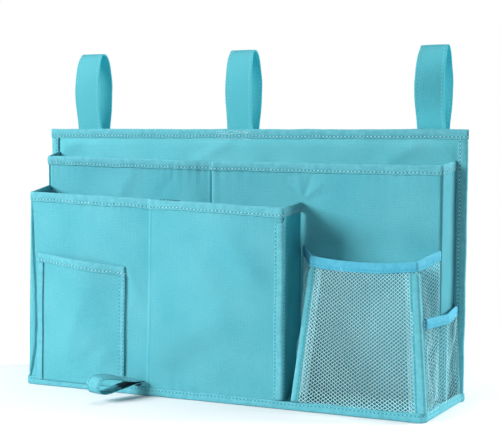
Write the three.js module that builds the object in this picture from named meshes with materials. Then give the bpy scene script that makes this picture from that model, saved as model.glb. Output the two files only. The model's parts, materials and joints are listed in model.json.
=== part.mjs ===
// Bedside caddy: a cloth organiser that stands on a shelf or hangs from a rail by three straps.
// A stiffened back panel and a stiffened base carry two tiers of cloth pockets, a net pocket
// at the front right, a small net pocket on the right side, a patch pocket and a key loop.
// Millimetres. X runs to the viewer's right, -Y is the front, Z is up. The origin lies under the
// middle of the base.
import * as THREE from 'three';

// Overall sizes
const backWidth = 500;
const backHeight = 290;
const bodyDepth = 101;
const baseFrontWidth = 458;
const baseRearInset = 1.5;

// Materials' thicknesses and the sewing allowances that every seam shares
const cloth = 1.0;
const lining = 0.8;
const board = 1.6;
const tape = 0.7;
const fit = 0.3;
const tapeLeg = 10.5;
const footTapeHeight = 9;
const netThread = 0.6;

// Rim heights, measured to the top fold of each rim tape
const midLeftRimAtSide = 258.5;
const midRimAtDivider = 254.5;
const midRightRimAtSide = 253;
const midLeftRimAtBack = 263;
const midRightRimAtBack = 257.5;
const frontRimAtLeft = 220;
const frontRimAtRight = 210;
const frontRimAtMidLeft = 223.5;
const frontRimAtMidRight = 211;
const netRimAtLeft = 158.5;
const netRimAtRight = 157.5;
const netRimAtMid = 165;
const netRimSag = 4;
const sideNetRimAtFront = 100;
const sideNetRimAtFold = 101;
const sideNetRimAtBack = 104.5;

// Places of the seams across the width, and the depth of the middle tier
const midTierDepth = 27;
const midLeftInset = 12;
const midRightInset = 22;
const midDividerX = -28.5;
const frontLeftInset = 7;
const frontRightX = 77.5;
const frontCreaseX = -79;
const frontTopSetback = 3;
const netGapAtFoot = 11.5;
const netGapAtTop = 24;
const netRightInset = 17.5;
const netTopSetback = 27;
const midGussetBackInset = 11.5;
const sideNetFoldShare = 0.56;
const sideNetFoldBulge = 7;
const sideNetBackInset = 8.5;

// How far cloth walls stand out of their flat plane
const frontGussetBulge = 5;
const frontCreaseDepth = 2;

// Legs of the tape round a corner seam: on the wall before it and on the wall after it
const cornerLegs = [9, 6];
const cornerSteps = 6;

// Patch pocket on the front wall
const patchInset = 16;
const patchWidth = 104;
const patchHeightAtLeft = 147;
const patchHeightAtRight = 138.5;
const patchTapeWidth = 8;
const patchSwell = 7;

// Coarse diamonds of the net, and the plain strip round its edge
const frontNetDiamond = 14;
const sideNetDiamond = 18;
const netStrand = 2.2;
const netSelvedge = 3.5;
const netEdgeSteps = 8;

// Hanging straps
const leftStrapInset = 49.5;
const rightStrapInset = 39.5;
const middleStrapX = -7.5;
const strapWidth = 31;
const strapThickness = 1.6;
const loopHeight = 89;
const loopMouth = 16.5;
const loopBelly = 30;
const loopBellyHeight = 52;
const crownSetback = 10.5;
const crownRun = 5;
const loopForwardLean = 2;
const sewnEndLength = 20;
const tailTop = 30;
const tailLength = 62;
const hookPatchLength = 45;
const loopPatchLength = 60;
const patchThickness = 1.2;
const patchEdgeMargin = 2;

// Key loop
const keyLoopInset = 4;
const keyLoopWidth = 18;
const keyLoopReach = 48;
const keyLoopEyeHeight = 17;
const keyLoopTurn = THREE.MathUtils.degToRad(29);
const keyTape = 1.2;

// Lengths that follow from the sizes above
const halfCloth = cloth / 2;
const frontY = -bodyDepth / 2;
const tapeInner = halfCloth + fit;
const tapeOuter = tapeInner + tape;
const capDrop = fit + tape;
const frontWallY = frontY + tapeOuter;
const backRearY = bodyDepth / 2 - tape - fit;
const backRearClothY = backRearY - lining;
const backBoardY = backRearClothY - fit - board;
const backFrontY = backBoardY - fit - lining;
const midWallY = backFrontY - midTierDepth + halfCloth;
const footFloor = tape + fit;
const baseBoardZ = lining + fit;
const baseUpperZ = baseBoardZ + board + fit;
const baseTop = baseUpperZ + lining;
const wallFoot = baseTop + fit;
const aboveFoot = footTapeHeight + fit;
const cornerTrim = halfCloth + 2 * fit;
const insideTrim = tapeOuter + fit;
const midLeftTopX = midLeftInset - backWidth / 2;
const midRightX = backWidth / 2 - midRightInset;
const frontLeftTopX = frontLeftInset - baseFrontWidth / 2;
const netLeftBottomX = frontRightX + netGapAtFoot;
const netLeftTopX = frontRightX + netGapAtTop;
const netRightTopX = baseFrontWidth / 2 - netRightInset;
const patchLeftX = patchInset - baseFrontWidth / 2;
const patchRightX = patchLeftX + patchWidth;
const keyLoopX = frontCreaseX - keyLoopInset;
const strapCentres = {
  left: leftStrapInset - backWidth / 2,
  middle: middleStrapX,
  right: backWidth / 2 - rightStrapInset,
};

// Colours of the cloth, its seam tape, the bluer elastic tape, the net, the boards and the patches
const clothColour = 0x6fd0de;
const tapeColour = 0x74d4e2;
const rimTapeColour = 0x5fbbdd;
const netColour = 0xddf3f5;
const boardColour = 0xd8d4c8;
const hookColour = 0x3fa9b8;

const material = (colour, roughness) =>
  new THREE.MeshStandardMaterial({ color: colour, roughness, metalness: 0 });
const clothMaterial = () => material(clothColour, 0.85);
const tapeMaterial = () => material(tapeColour, 0.75);
const rimTapeMaterial = () => material(rimTapeColour, 0.7);
const netMaterial = () => material(netColour, 0.6);
const boardMaterial = () => material(boardColour, 0.6);
const hookMaterial = () => material(hookColour, 0.95);

const point = (x, y, z) => new THREE.Vector3(x, y, z);
const mix = THREE.MathUtils.lerp;
const group = new THREE.Group();

function addPart(name, geometry, partMaterial) {
  const mesh = new THREE.Mesh(geometry, partMaterial);
  mesh.name = name;
  group.add(mesh);
  return mesh;
}

// Turns a list of corner points and triangles into a solid whose faces point out
function solidFrom(points, triangles) {
  let volume = 0;
  for (const [a, b, c] of triangles) {
    volume += points[a].dot(points[b].clone().cross(points[c]));
  }
  const facing = volume < 0 ? triangles.map(([a, b, c]) => [a, c, b]) : triangles;
  const geometry = new THREE.BufferGeometry();
  geometry.setFromPoints(points);
  geometry.setIndex(facing.flat());
  geometry.computeVertexNormals();
  return geometry;
}

// Joins a row of like outlines into a closed strip. The flat outline only says how the two
// end faces are triangulated.
function strip(sections, flatOutline) {
  const count = flatOutline.length;
  const points = sections.flat();
  const triangles = [];
  for (let row = 0; row + 1 < sections.length; row += 1) {
    for (let i = 0; i < count; i += 1) {
      const next = (i + 1) % count;
      const a = row * count + i;
      const b = row * count + next;
      triangles.push([a, b, b + count], [a, b + count, a + count]);
    }
  }
  const last = (sections.length - 1) * count;
  for (const [a, b, c] of THREE.ShapeUtils.triangulateShape(flatOutline, [])) {
    triangles.push([b, a, c], [last + a, last + b, last + c]);
  }
  return alignCaps(points, triangles, sections, flatOutline);
}

// The end faces turn the same way round as the sides, whichever way the outline runs
function alignCaps(points, triangles, sections, flatOutline) {
  const anticlockwise = THREE.ShapeUtils.area(flatOutline) > 0;
  const sideCount = (sections.length - 1) * flatOutline.length * 2;
  const turned = triangles.map(([a, b, c], i) =>
    i >= sideCount && !anticlockwise ? [a, c, b] : [a, b, c]);
  return solidFrom(points, turned);
}

// A seam is a straight line that two walls share, from the base to its top
const seam = (bottom, top) => ({ bottom, top });
const along = (line, share) => line.bottom.clone().lerp(line.top, share);

// A wall spans two seams. Its outside lies to the right of the way from the first to the second.
function wall(from, to, shape = {}) {
  return { from, to, swell: () => 0, sag: 0, ...shape };
}

const wallWidth = (w) =>
  (w.from.bottom.distanceTo(w.to.bottom) + w.from.top.distanceTo(w.to.top)) / 2;
const wallHeight = (w) =>
  (w.from.bottom.distanceTo(w.from.top) + w.to.bottom.distanceTo(w.to.top)) / 2;

function wallNormal(w, u, v) {
  const across = along(w.to, v).sub(along(w.from, v));
  const upward = w.from.top.clone().lerp(w.to.top, u)
    .sub(w.from.bottom.clone().lerp(w.to.bottom, u));
  return across.cross(upward).normalize();
}

function surfacePoint(w, u, v, offset) {
  const place = along(w.from, v).lerp(along(w.to, v), u);
  return place.addScaledVector(wallNormal(w, u, v), w.swell(u, v) + offset);
}

// A rim that sags draws the cloth below it down along its own surface
const sagged = (w, u, v) => v * (1 - (4 * u * (1 - u) * w.sag) / wallHeight(w));
const wallPoint = (w, u, v, offset) => surfacePoint(w, u, sagged(w, u, v), offset);

// A cloth wall, cut back by a trim at each seam so that it clears what it is sewn to
function clothWall(w, cut = {}) {
  const { trimFrom = 0, trimTo = 0, trimTop = 0, trimFoot = 0, offset = 0 } = cut;
  const { thickness = cloth, columns = 1, rows = 1 } = cut;
  const uStart = trimFrom / wallWidth(w);
  const uEnd = 1 - trimTo / wallWidth(w);
  const vStart = trimFoot / wallHeight(w);
  const vEnd = 1 - trimTop / wallHeight(w);
  const points = [];
  for (const side of [-1, 1]) {
    for (let j = 0; j <= rows; j += 1) {
      for (let i = 0; i <= columns; i += 1) {
        const u = mix(uStart, uEnd, i / columns);
        const v = mix(vStart, vEnd, j / rows);
        points.push(wallPoint(w, u, v, offset + (side * thickness) / 2));
      }
    }
  }
  return solidFrom(points, slabTriangles(columns, rows));
}

// The triangles of a slab whose back grid comes first and whose front grid follows it
function slabTriangles(columns, rows) {
  const width = columns + 1;
  const layer = width * (rows + 1);
  const triangles = [];
  for (let j = 0; j < rows; j += 1) {
    for (let i = 0; i < columns; i += 1) {
      const a = j * width + i;
      triangles.push([a, a + width, a + width + 1], [a, a + width + 1, a + 1]);
      const b = a + layer;
      triangles.push([b, b + width + 1, b + width], [b, b + 1, b + width + 1]);
    }
  }
  const rim = [];
  for (let i = 0; i < columns; i += 1) rim.push(i);
  for (let j = 0; j < rows; j += 1) rim.push(columns + j * width);
  for (let i = columns; i > 0; i -= 1) rim.push(rows * width + i);
  for (let j = rows; j > 0; j -= 1) rim.push(j * width);
  rim.forEach((a, k) => {
    const b = rim[(k + 1) % rim.length];
    triangles.push([a, b, b + layer], [a, b + layer, a + layer]);
  });
  return triangles;
}

// A net of diamond gaps on a wall, inside a plain selvedge
function netWall(w, diamond, cut = {}) {
  const { trimFrom = 0, trimTo = 0, trimTop = 0, trimFoot = 0, offset = 0 } = cut;
  const width = wallWidth(w);
  const height = wallHeight(w);
  const left = trimFrom;
  const right = width - trimTo;
  const foot = trimFoot;
  const top = height - trimTop;
  const lowered = (x, y) =>
    new THREE.Vector2(x, sagged(w, x / width, y / height) * height);
  const corners = [[left, foot], [right, foot], [right, top], [left, top]];
  const outline = [];
  corners.forEach(([x, y], k) => {
    const [nextX, nextY] = corners[(k + 1) % corners.length];
    for (let i = 0; i < netEdgeSteps; i += 1) {
      const share = i / netEdgeSteps;
      outline.push(lowered(mix(x, nextX, share), mix(y, nextY, share)));
    }
  });
  const shape = new THREE.Shape(outline);
  const columns = Math.floor((right - left - 2 * netSelvedge) / diamond);
  const rows = Math.floor((top - foot - 2 * netSelvedge) / diamond);
  const stepX = (right - left - 2 * netSelvedge) / columns;
  const stepY = (top - foot - 2 * netSelvedge) / rows;
  const reachX = (stepX - netStrand * Math.SQRT2) / 2;
  const reachY = (stepY - netStrand * Math.SQRT2) / 2;
  for (let row = 0; row < 2 * rows - 1; row += 1) {
    const inset = row % 2;
    for (let column = 0; column < columns - inset; column += 1) {
      const x = left + netSelvedge + (column + (1 + inset) / 2) * stepX;
      const y = foot + netSelvedge + ((row + 1) / 2) * stepY;
      shape.holes.push(new THREE.Path([
        lowered(x - reachX, y), lowered(x, y + reachY),
        lowered(x + reachX, y), lowered(x, y - reachY),
      ]));
    }
  }
  const geometry = new THREE.ExtrudeGeometry(shape, { depth: netThread, bevelEnabled: false });
  geometry.deleteAttribute('normal');
  geometry.deleteAttribute('uv');
  const place = geometry.getAttribute('position');
  for (let i = 0; i < place.count; i += 1) {
    const u = place.getX(i) / width;
    const v = place.getY(i) / height;
    const mapped = surfacePoint(w, u, v, offset + place.getZ(i) - netThread / 2);
    place.setXYZ(i, mapped.x, mapped.y, mapped.z);
  }
  geometry.computeVertexNormals();
  return geometry;
}

// The direction that keeps an offset of one length from both walls at their shared seam
function mitre(first, second) {
  const sum = first.clone().add(second);
  return sum.divideScalar(1 + first.dot(second));
}

// Stations along the rims of a row of walls: a rim point, the way down the cloth, and the
// way out, mitred where two walls meet
function rimStations(walls, steps, trimStart, trimEnd) {
  const stations = [];
  walls.forEach((w, k) => {
    const firstWall = k === 0;
    const lastWall = k === walls.length - 1;
    const uStart = firstWall ? trimStart / wallWidth(w) : 0;
    const uEnd = lastWall ? 1 - trimEnd / wallWidth(w) : 1;
    for (let i = firstWall ? 0 : 1; i <= steps[k]; i += 1) {
      const u = mix(uStart, uEnd, i / steps[k]);
      const atCorner = i === steps[k] && !lastWall;
      const own = wallNormal(w, u, 1);
      const out = atCorner ? mitre(own, wallNormal(walls[k + 1], 0, 1)) : own;
      const rim = wallPoint(w, u, 1, 0);
      const down = wallPoint(w, u, 1 - tapeLeg / wallHeight(w), 0).sub(rim).normalize();
      stations.push({ rim, down, out });
    }
  });
  return stations;
}

// Tape folded over a rim: two legs and the fold, clear of the cloth between them
function foldedTape(stations, half = halfCloth) {
  const inner = half + fit;
  const outer = inner + tape;
  const outline = [
    [outer, tapeLeg - capDrop], [outer, -capDrop], [-outer, -capDrop],
    [-outer, tapeLeg - capDrop], [-inner, tapeLeg - capDrop], [-inner, -fit],
    [inner, -fit], [inner, tapeLeg - capDrop],
  ];
  const sections = stations.map(({ rim, down, out }) =>
    outline.map(([away, drop]) =>
      rim.clone().addScaledVector(out, away).addScaledVector(down, drop)));
  return strip(sections, outline.map(([away, drop]) => new THREE.Vector2(away, drop)));
}

// Tape folded round a corner seam, one leg on each of the two walls that meet there
function cornerTape(first, second, start, end, half = halfCloth) {
  const inner = half + fit;
  const outer = inner + tape;
  const firstLeg = cornerLegs[0];
  const secondLeg = cornerLegs[1];
  const outline = [
    [0, inner], [-firstLeg, inner], [-firstLeg, outer], [0, outer], [secondLeg, outer],
    [secondLeg, inner],
  ];
  const sectionAt = (height) => {
    const v = height / wallHeight(first);
    const corner = wallPoint(first, 1, v, 0);
    const firstOut = wallNormal(first, 1, v);
    const secondOut = wallNormal(second, 0, v);
    const both = mitre(firstOut, secondOut);
    const firstWay = wallPoint(first, 1, v, 0).sub(wallPoint(first, 0, v, 0)).normalize();
    const secondWay = wallPoint(second, 1, v, 0).sub(wallPoint(second, 0, v, 0)).normalize();
    return outline.map(([way, away]) => {
      if (way === 0) return corner.clone().addScaledVector(both, away);
      const out = way < 0 ? firstOut : secondOut;
      const direction = way < 0 ? firstWay : secondWay;
      return corner.clone().addScaledVector(direction, way).addScaledVector(out, away);
    });
  };
  const flat = outline.map(([way, away]) => {
    if (way === 0) return new THREE.Vector2(away, away);
    return way < 0 ? new THREE.Vector2(way, away) : new THREE.Vector2(away, -way);
  });
  const sections = [];
  for (let i = 0; i <= cornerSteps; i += 1) {
    sections.push(sectionAt(mix(start, end, i / cornerSteps)));
  }
  return strip(sections, flat);
}

// A ribbon of the given width whose edge follows a curve drawn in the Y-Z plane
function ribbon(curvePoints, width, thickness, centreX) {
  const half = thickness / 2;
  const sections = curvePoints.map((here, i) => {
    const before = curvePoints[Math.max(i - 1, 0)];
    const after = curvePoints[Math.min(i + 1, curvePoints.length - 1)];
    const way = after.clone().sub(before).normalize();
    const side = new THREE.Vector2(-way.y, way.x);
    return [[-1, -1], [1, -1], [1, 1], [-1, 1]].map(([across, out]) => point(
      centreX + (across * width) / 2,
      here.x + side.x * out * half,
      here.y + side.y * out * half,
    ));
  });
  const flat = [[-1, -1], [1, -1], [1, 1], [-1, 1]].map(([a, b]) =>
    new THREE.Vector2((a * width) / 2, b * half));
  return strip(sections, flat);
}

function block(name, low, high, partMaterial) {
  const size = high.clone().sub(low);
  const mesh = addPart(name, new THREE.BoxGeometry(size.x, size.y, size.z), partMaterial);
  mesh.position.copy(low.clone().add(high).multiplyScalar(1 / 2));
  return mesh;
}

// Seams of the walls
const footFrontHalf = baseFrontWidth / 2 - tapeOuter;
const footRearHalf = backWidth / 2 - baseRearInset - tapeOuter;
const footRearY = backFrontY - capDrop - fit;
const sideXAt = (y) =>
  mix(footFrontHalf, footRearHalf, (y - frontWallY) / (footRearY - frontWallY));
const frontTopY = frontWallY + frontTopSetback;
const netTopY = frontWallY + netTopSetback;
const belowCap = (height) => height - capDrop;
const backGussetX = backWidth / 2 - midGussetBackInset;

const frontLeftSeam = seam(
  point(-footFrontHalf, frontWallY, footFloor),
  point(frontLeftTopX, frontTopY, belowCap(frontRimAtLeft)),
);
const frontRightSeam = seam(
  point(frontRightX, frontWallY, footFloor),
  point(frontRightX, frontTopY, belowCap(frontRimAtRight)),
);
const frontRightBackSeam = seam(
  point(frontRightX - cloth, midWallY, wallFoot),
  point(frontRightX - cloth, midWallY, belowCap(frontRimAtMidRight)),
);
const midLeftSeam = (rimHeight) => seam(
  point(-sideXAt(midWallY), midWallY, footFloor),
  point(midLeftTopX, midWallY, belowCap(rimHeight)),
);
const midLeftBackSeam = seam(
  point(-footRearHalf, footRearY, footFloor),
  point(-backGussetX, footRearY, belowCap(midLeftRimAtBack)),
);
const midDividerSeam = seam(
  point(midDividerX, midWallY, wallFoot),
  point(midDividerX, midWallY, belowCap(midRimAtDivider)),
);
const midRightSeam = seam(
  point(midRightX, midWallY, wallFoot),
  point(midRightX, midWallY, belowCap(midRightRimAtSide)),
);
const midRightBackSeam = seam(
  point(backGussetX, footRearY, wallFoot),
  point(backGussetX, footRearY, belowCap(midRightRimAtBack)),
);
const netLeftSeam = seam(
  point(netLeftBottomX, frontWallY, aboveFoot),
  point(netLeftTopX, netTopY, belowCap(netRimAtLeft)),
);
const netRightSeam = seam(
  point(footFrontHalf, frontWallY, aboveFoot),
  point(netRightTopX, netTopY, belowCap(netRimAtRight)),
);

// Back panel: a board between two cloths, with tape folded over the top and side edges
const backHalf = backWidth / 2;
const backTop = backHeight - capDrop;
const backInnerX = backHalf - capDrop;
block('back_rear_cloth', point(-backInnerX, backRearClothY, 0),
  point(backInnerX, backRearY, backTop), clothMaterial());
block('back_stiffener_board', point(-backInnerX, backBoardY, 0),
  point(backInnerX, backBoardY + board, backTop), boardMaterial());
block('back_front_cloth', point(-backInnerX, backFrontY, 0),
  point(backInnerX, backFrontY + lining, backTop), clothMaterial());

const backMiddleY = (backFrontY + backRearY) / 2;
const backHalfThickness = (backRearY - backFrontY) / 2;
const topStations = [-backHalf, backHalf].map((x) => ({
  rim: point(x, backMiddleY, backTop), down: point(0, 0, -1), out: point(0, -1, 0),
}));
addPart('top_binding', foldedTape(topStations, backHalfThickness), tapeMaterial());
const sideStations = (side) => [aboveFoot, backHeight - tapeLeg - fit].map((z) => ({
  rim: point(side * backInnerX, backMiddleY, z), down: point(-side, 0, 0), out: point(0, -1, 0),
}));
addPart('back_left_binding', foldedTape(sideStations(-1), backHalfThickness), tapeMaterial());
addPart('back_right_binding', foldedTape(sideStations(1), backHalfThickness), tapeMaterial());

// Base: a board between two cloths, with tape folded round the foot of the outer walls
function basePlate(name, low, thickness, partMaterial) {
  const front = frontWallY + insideTrim;
  const rear = backFrontY - fit;
  const frontHalf = sideXAt(front) - insideTrim;
  const rearHalf = sideXAt(rear) - insideTrim;
  const outline = new THREE.Shape([
    new THREE.Vector2(-frontHalf, front), new THREE.Vector2(frontHalf, front),
    new THREE.Vector2(rearHalf, rear), new THREE.Vector2(-rearHalf, rear),
  ]);
  const plate = new THREE.ExtrudeGeometry(outline, { depth: thickness, bevelEnabled: false });
  addPart(name, plate, partMaterial).position.z = low;
}
basePlate('base_under_cloth', 0, lining, clothMaterial());
basePlate('base_stiffener_board', baseBoardZ, board, boardMaterial());
basePlate('base_upper_cloth', baseUpperZ, lining, clothMaterial());

const footPath = [
  point(-footRearHalf, footRearY, footFloor), point(-footFrontHalf, frontWallY, footFloor),
  point(footFrontHalf, frontWallY, footFloor), point(footRearHalf, footRearY, footFloor),
];
const footOut = (from, to) => to.clone().sub(from).cross(point(0, 0, 1)).normalize();
const footNormals = [0, 1, 2].map((i) => footOut(footPath[i], footPath[i + 1]));
const footStations = footPath.map((corner, i) => {
  const before = footNormals[Math.max(i - 1, 0)];
  const after = footNormals[Math.min(i, 2)];
  return { rim: corner, down: point(0, 0, 1), out: mitre(before, after) };
});
const footOutline = [
  [tapeOuter, footTapeHeight - footFloor], [tapeOuter, -footFloor], [-tapeOuter, -footFloor],
  [-tapeOuter, footTapeHeight - footFloor], [-tapeInner, footTapeHeight - footFloor],
  [-tapeInner, -fit], [tapeInner, -fit], [tapeInner, footTapeHeight - footFloor],
];
const footSections = footStations.map(({ rim, down, out }) =>
  footOutline.map(([away, rise]) =>
    rim.clone().addScaledVector(out, away).addScaledVector(down, rise)));
addPart('base_binding',
  strip(footSections, footOutline.map(([away, rise]) => new THREE.Vector2(away, rise))),
  tapeMaterial());

// Middle tier: two pockets side by side against the back panel
const gentle = (depth) => (u, v) =>
  depth * Math.sin(Math.PI * u) ** 2 * Math.sin(Math.PI * v) ** 2;
const midLeftGusset = wall(midLeftBackSeam, midLeftSeam(midLeftRimAtSide));
const midLeftWall = wall(midLeftSeam(midLeftRimAtSide), midDividerSeam);
const midRightWall = wall(midDividerSeam, midRightSeam);
const midRightGusset = wall(midRightSeam, midRightBackSeam);
const seamShare = fit / 2;
const standing = wallFoot - footFloor;
addPart('mid_left_gusset', clothWall(midLeftGusset, { trimFrom: fit, trimTo: seamShare }),
  clothMaterial());
addPart('mid_left_wall', clothWall(midLeftWall, {
  trimFrom: insideTrim + fit, trimTo: seamShare, trimFoot: standing,
}), clothMaterial());
addPart('mid_right_wall', clothWall(midRightWall, { trimFrom: seamShare }), clothMaterial());
addPart('mid_right_gusset', clothWall(midRightGusset, { trimFrom: cornerTrim, trimTo: fit }),
  clothMaterial());
const midDivider = wall(
  seam(point(midDividerX, midWallY, wallFoot), point(midDividerX, midWallY, midRimAtDivider)),
  seam(point(midDividerX, backFrontY, wallFoot), point(midDividerX, backFrontY, midRimAtDivider)),
);
addPart('mid_divider', clothWall(midDivider, {
  trimFrom: tapeInner, trimTo: fit, trimTop: tapeLeg + fit,
}), clothMaterial());
addPart('mid_left_rim_tape',
  foldedTape(rimStations([midLeftGusset, midLeftWall], [1, 1], tapeInner, seamShare)),
  tapeMaterial());
addPart('mid_right_rim_tape',
  foldedTape(rimStations([midRightWall, midRightGusset], [1, 1], seamShare, tapeInner)),
  tapeMaterial());

// Front pocket: one long wall with a creased seam where the divider is sewn in
const creaseShare = (frontCreaseX + footFrontHalf) / (frontRightX + footFrontHalf);
const crease = (u) =>
  -frontCreaseDepth * Math.max(0, 1 - Math.abs(u - creaseShare) / (creaseShare / 2));
const frontLeftGusset = wall(midLeftSeam(frontRimAtMidLeft), frontLeftSeam,
  { swell: gentle(frontGussetBulge) });
const frontWall = wall(frontLeftSeam, frontRightSeam,
  { swell: (u, v) => crease(u) * Math.sin((Math.PI / 2) * Math.min(1, 2 * v)) ** 2 });
const frontRightGusset = wall(frontRightSeam, frontRightBackSeam);
addPart('front_left_gusset', clothWall(frontLeftGusset, {
  trimFrom: seamShare, trimTo: cornerTrim, columns: 6, rows: 10,
}), clothMaterial());
addPart('front_wall', clothWall(frontWall, { columns: 16, rows: 8 }), clothMaterial());
addPart('front_right_gusset', clothWall(frontRightGusset, {
  trimFrom: insideTrim + fit, trimTo: cornerTrim, trimFoot: standing, columns: 1, rows: 1,
}), clothMaterial());
const dividerTop = mix(frontRimAtLeft, frontRimAtRight, creaseShare);
const frontDivider = wall(
  seam(point(frontCreaseX, frontWallY, wallFoot), point(frontCreaseX, frontTopY, dividerTop)),
  seam(point(frontCreaseX, midWallY, wallFoot), point(frontCreaseX, midWallY, dividerTop)),
);
addPart('front_divider', clothWall(frontDivider, {
  trimFrom: insideTrim + frontCreaseDepth, trimTo: cornerTrim,
  trimTop: tapeLeg + fit,
}), clothMaterial());
addPart('front_rim_tape', foldedTape(rimStations(
  [frontLeftGusset, frontWall, frontRightGusset], [1, 16, 1], tapeOuter + fit, cornerTrim)),
  tapeMaterial());
addPart('front_right_corner_tape', cornerTape(frontWall, frontRightGusset,
  aboveFoot - footFloor + fit, belowCap(frontRimAtRight) - footFloor - tapeLeg), tapeMaterial());

// Patch pocket, sewn flat on the front wall at its sides and foot and standing open at its rim
const patchEdge = (x, height) => {
  const share = (x + footFrontHalf) / (frontRightX + footFrontHalf);
  return seam(
    wallPoint(frontWall, share, 0, 0),
    wallPoint(frontWall, share, height / wallHeight(frontWall), 0),
  );
};
const bow = (u) => Math.sin(Math.PI * u) ** 2;
const patchSetOff = tapeOuter + fit + lining / 2;
const patchWall = wall(
  patchEdge(patchLeftX, patchHeightAtLeft - capDrop),
  patchEdge(patchRightX, patchHeightAtRight - capDrop),
  { swell: (u, v) => patchSetOff + patchSwell * bow(u) * Math.sin((Math.PI / 2) * v) },
);
const patchFoot = aboveFoot - footFloor + fit;
addPart('patch_wall', clothWall(patchWall, {
  trimFoot: patchFoot, thickness: lining, columns: 12, rows: 6,
}), clothMaterial());
addPart('patch_rim_tape',
  foldedTape(rimStations([patchWall], [12], 0, 0), lining / 2), tapeMaterial());
function patchSideTape(name, edgeShare, widthShare) {
  const start = Math.min(edgeShare, edgeShare + widthShare);
  const sideTape = clothWall(patchWall, {
    trimFrom: start * wallWidth(patchWall),
    trimTo: (1 - start - Math.abs(widthShare)) * wallWidth(patchWall),
    trimFoot: patchFoot,
    trimTop: tapeLeg,
    offset: lining / 2 + fit + tape / 2,
    thickness: tape,
    columns: 2,
    rows: 6,
  });
  addPart(name, sideTape, tapeMaterial());
}
const patchTapeShare = patchTapeWidth / wallWidth(patchWall);
patchSideTape('patch_left_tape', 0, patchTapeShare);
patchSideTape('patch_right_tape', 1, -patchTapeShare);

// Net pocket at the front right: three nets that lean back to a drawn-in elastic rim
const netLeftBackSeam = seam(
  point(frontRightX + 2 * cloth, midWallY, wallFoot),
  point(frontRightX + 2 * cloth, midWallY, belowCap(netRimAtMid)),
);
const netRightBackSeam = seam(
  point(midRightX, midWallY, aboveFoot),
  point(midRightX, midWallY, belowCap(netRimAtMid)),
);
const netLeft = wall(netLeftBackSeam, netLeftSeam);
const netFront = wall(netLeftSeam, netRightSeam, { sag: netRimSag });
const netRight = wall(netRightSeam, netRightBackSeam);
addPart('net_front', netWall(netFront, frontNetDiamond, { trimTop: fit }), netMaterial());
addPart('net_left', netWall(netLeft, sideNetDiamond, {
  trimFrom: insideTrim, trimTo: insideTrim, trimFoot: fit, trimTop: fit,
}), netMaterial());
addPart('net_right', netWall(netRight, sideNetDiamond, {
  trimFrom: insideTrim, trimTo: insideTrim, trimTop: fit,
}), netMaterial());
addPart('net_rim_tape', foldedTape(rimStations(
  [netLeft, netFront, netRight], [4, 8, 4], tapeOuter + fit, tapeOuter + fit)),
  rimTapeMaterial());
addPart('net_left_corner_tape', cornerTape(netLeft, netFront,
  fit, wallHeight(netFront) - tapeLeg - fit), tapeMaterial());
addPart('net_right_corner_tape', cornerTape(netFront, netRight,
  fit, wallHeight(netFront) - tapeLeg - fit), tapeMaterial());

// Side pocket: a net from the right front corner to the back panel, with one upright fold
const sideShare = (height) => (height - aboveFoot) / (belowCap(netRimAtRight) - aboveFoot);
const overCorner = point(tapeOuter + fit, 0, 0);
const sideFrontSeam = seam(
  netRightSeam.bottom.clone().add(overCorner),
  along(netRightSeam, sideShare(belowCap(sideNetRimAtFront))).add(overCorner),
);
const sideBackSeam = seam(
  point(footRearHalf, footRearY, aboveFoot),
  point(backHalf - sideNetBackInset, footRearY, belowCap(sideNetRimAtBack)),
);
const sideFoldFoot = sideFrontSeam.bottom.clone().lerp(sideBackSeam.bottom, sideNetFoldShare);
const sideChord = sideBackSeam.top.clone().sub(sideFrontSeam.top);
const sideFoldTop = sideFrontSeam.top.clone().addScaledVector(sideChord, sideNetFoldShare)
  .addScaledVector(sideChord.cross(point(0, 0, 1)).normalize(), sideNetFoldBulge);
sideFoldTop.z = belowCap(sideNetRimAtFold);
const sideFoldSeam = seam(sideFoldFoot, sideFoldTop);
const sideFront = wall(sideFrontSeam, sideFoldSeam);
const sideBack = wall(sideFoldSeam, sideBackSeam);
const besideCorner = cornerLegs[1] + 2 * fit;
addPart('side_net_front', netWall(sideFront, sideNetDiamond, {
  trimFrom: besideCorner, trimTo: seamShare, trimTop: fit,
}), netMaterial());
addPart('side_net_back', netWall(sideBack, sideNetDiamond, {
  trimFrom: seamShare, trimTo: fit, trimTop: fit,
}), netMaterial());
addPart('side_rim_tape', foldedTape(rimStations(
  [sideFront, sideBack], [4, 4], besideCorner, tapeInner)), rimTapeMaterial());

// Hanging straps. Each is one strip: sewn behind the panel's top, up over a rail and down
// again, its tail held to the back of the panel by hook and loop.
const curveSteps = 12;
const strapY = backRearY + capDrop + fit + strapThickness / 2;
const loopPatchY = backRearY + fit;
const hookPatchY = loopPatchY + patchThickness + fit;
const tailY = hookPatchY + patchThickness + fit + strapThickness / 2;
const strapFoot = backHeight + 3 * fit;
const crownZ = backHeight + loopHeight;
const crownY = strapY + crownSetback;
const bellyZ = backHeight + loopBellyHeight;
const tailStart = backHeight - tailTop;
const tailEnd = tailStart - tailLength;
const flat2 = (y, z) => new THREE.Vector2(y, z);
const curve = (a, b, c, d) => new THREE.CubicBezierCurve(a, b, c, d).getPoints(curveSteps);
const strapRise = curve(
  flat2(strapY, strapFoot), flat2(strapY - loopForwardLean, bellyZ),
  flat2(strapY - 2 * loopForwardLean, crownZ), flat2(crownY - crownRun, crownZ));
const crownFlat = [mix(crownY, crownY - crownRun, 4 / 5), crownY - seamShare];
const frontStrand = [...strapRise, ...crownFlat.map((y) => flat2(y, crownZ))];
const strapBelly = curve(
  flat2(crownY + seamShare, crownZ), flat2(crownY + crownSetback, crownZ),
  flat2(strapY + loopBelly, mix(bellyZ, crownZ, 1 / 2)), flat2(strapY + loopBelly, bellyZ));
const mouth = flat2(strapY + loopMouth, backHeight);
const mouthWay = flat2(tailY - strapY - loopBelly, tailStart - bellyZ).normalize();
const aboveMouth = mouth.clone().addScaledVector(mouthWay, -loopMouth);
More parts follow.
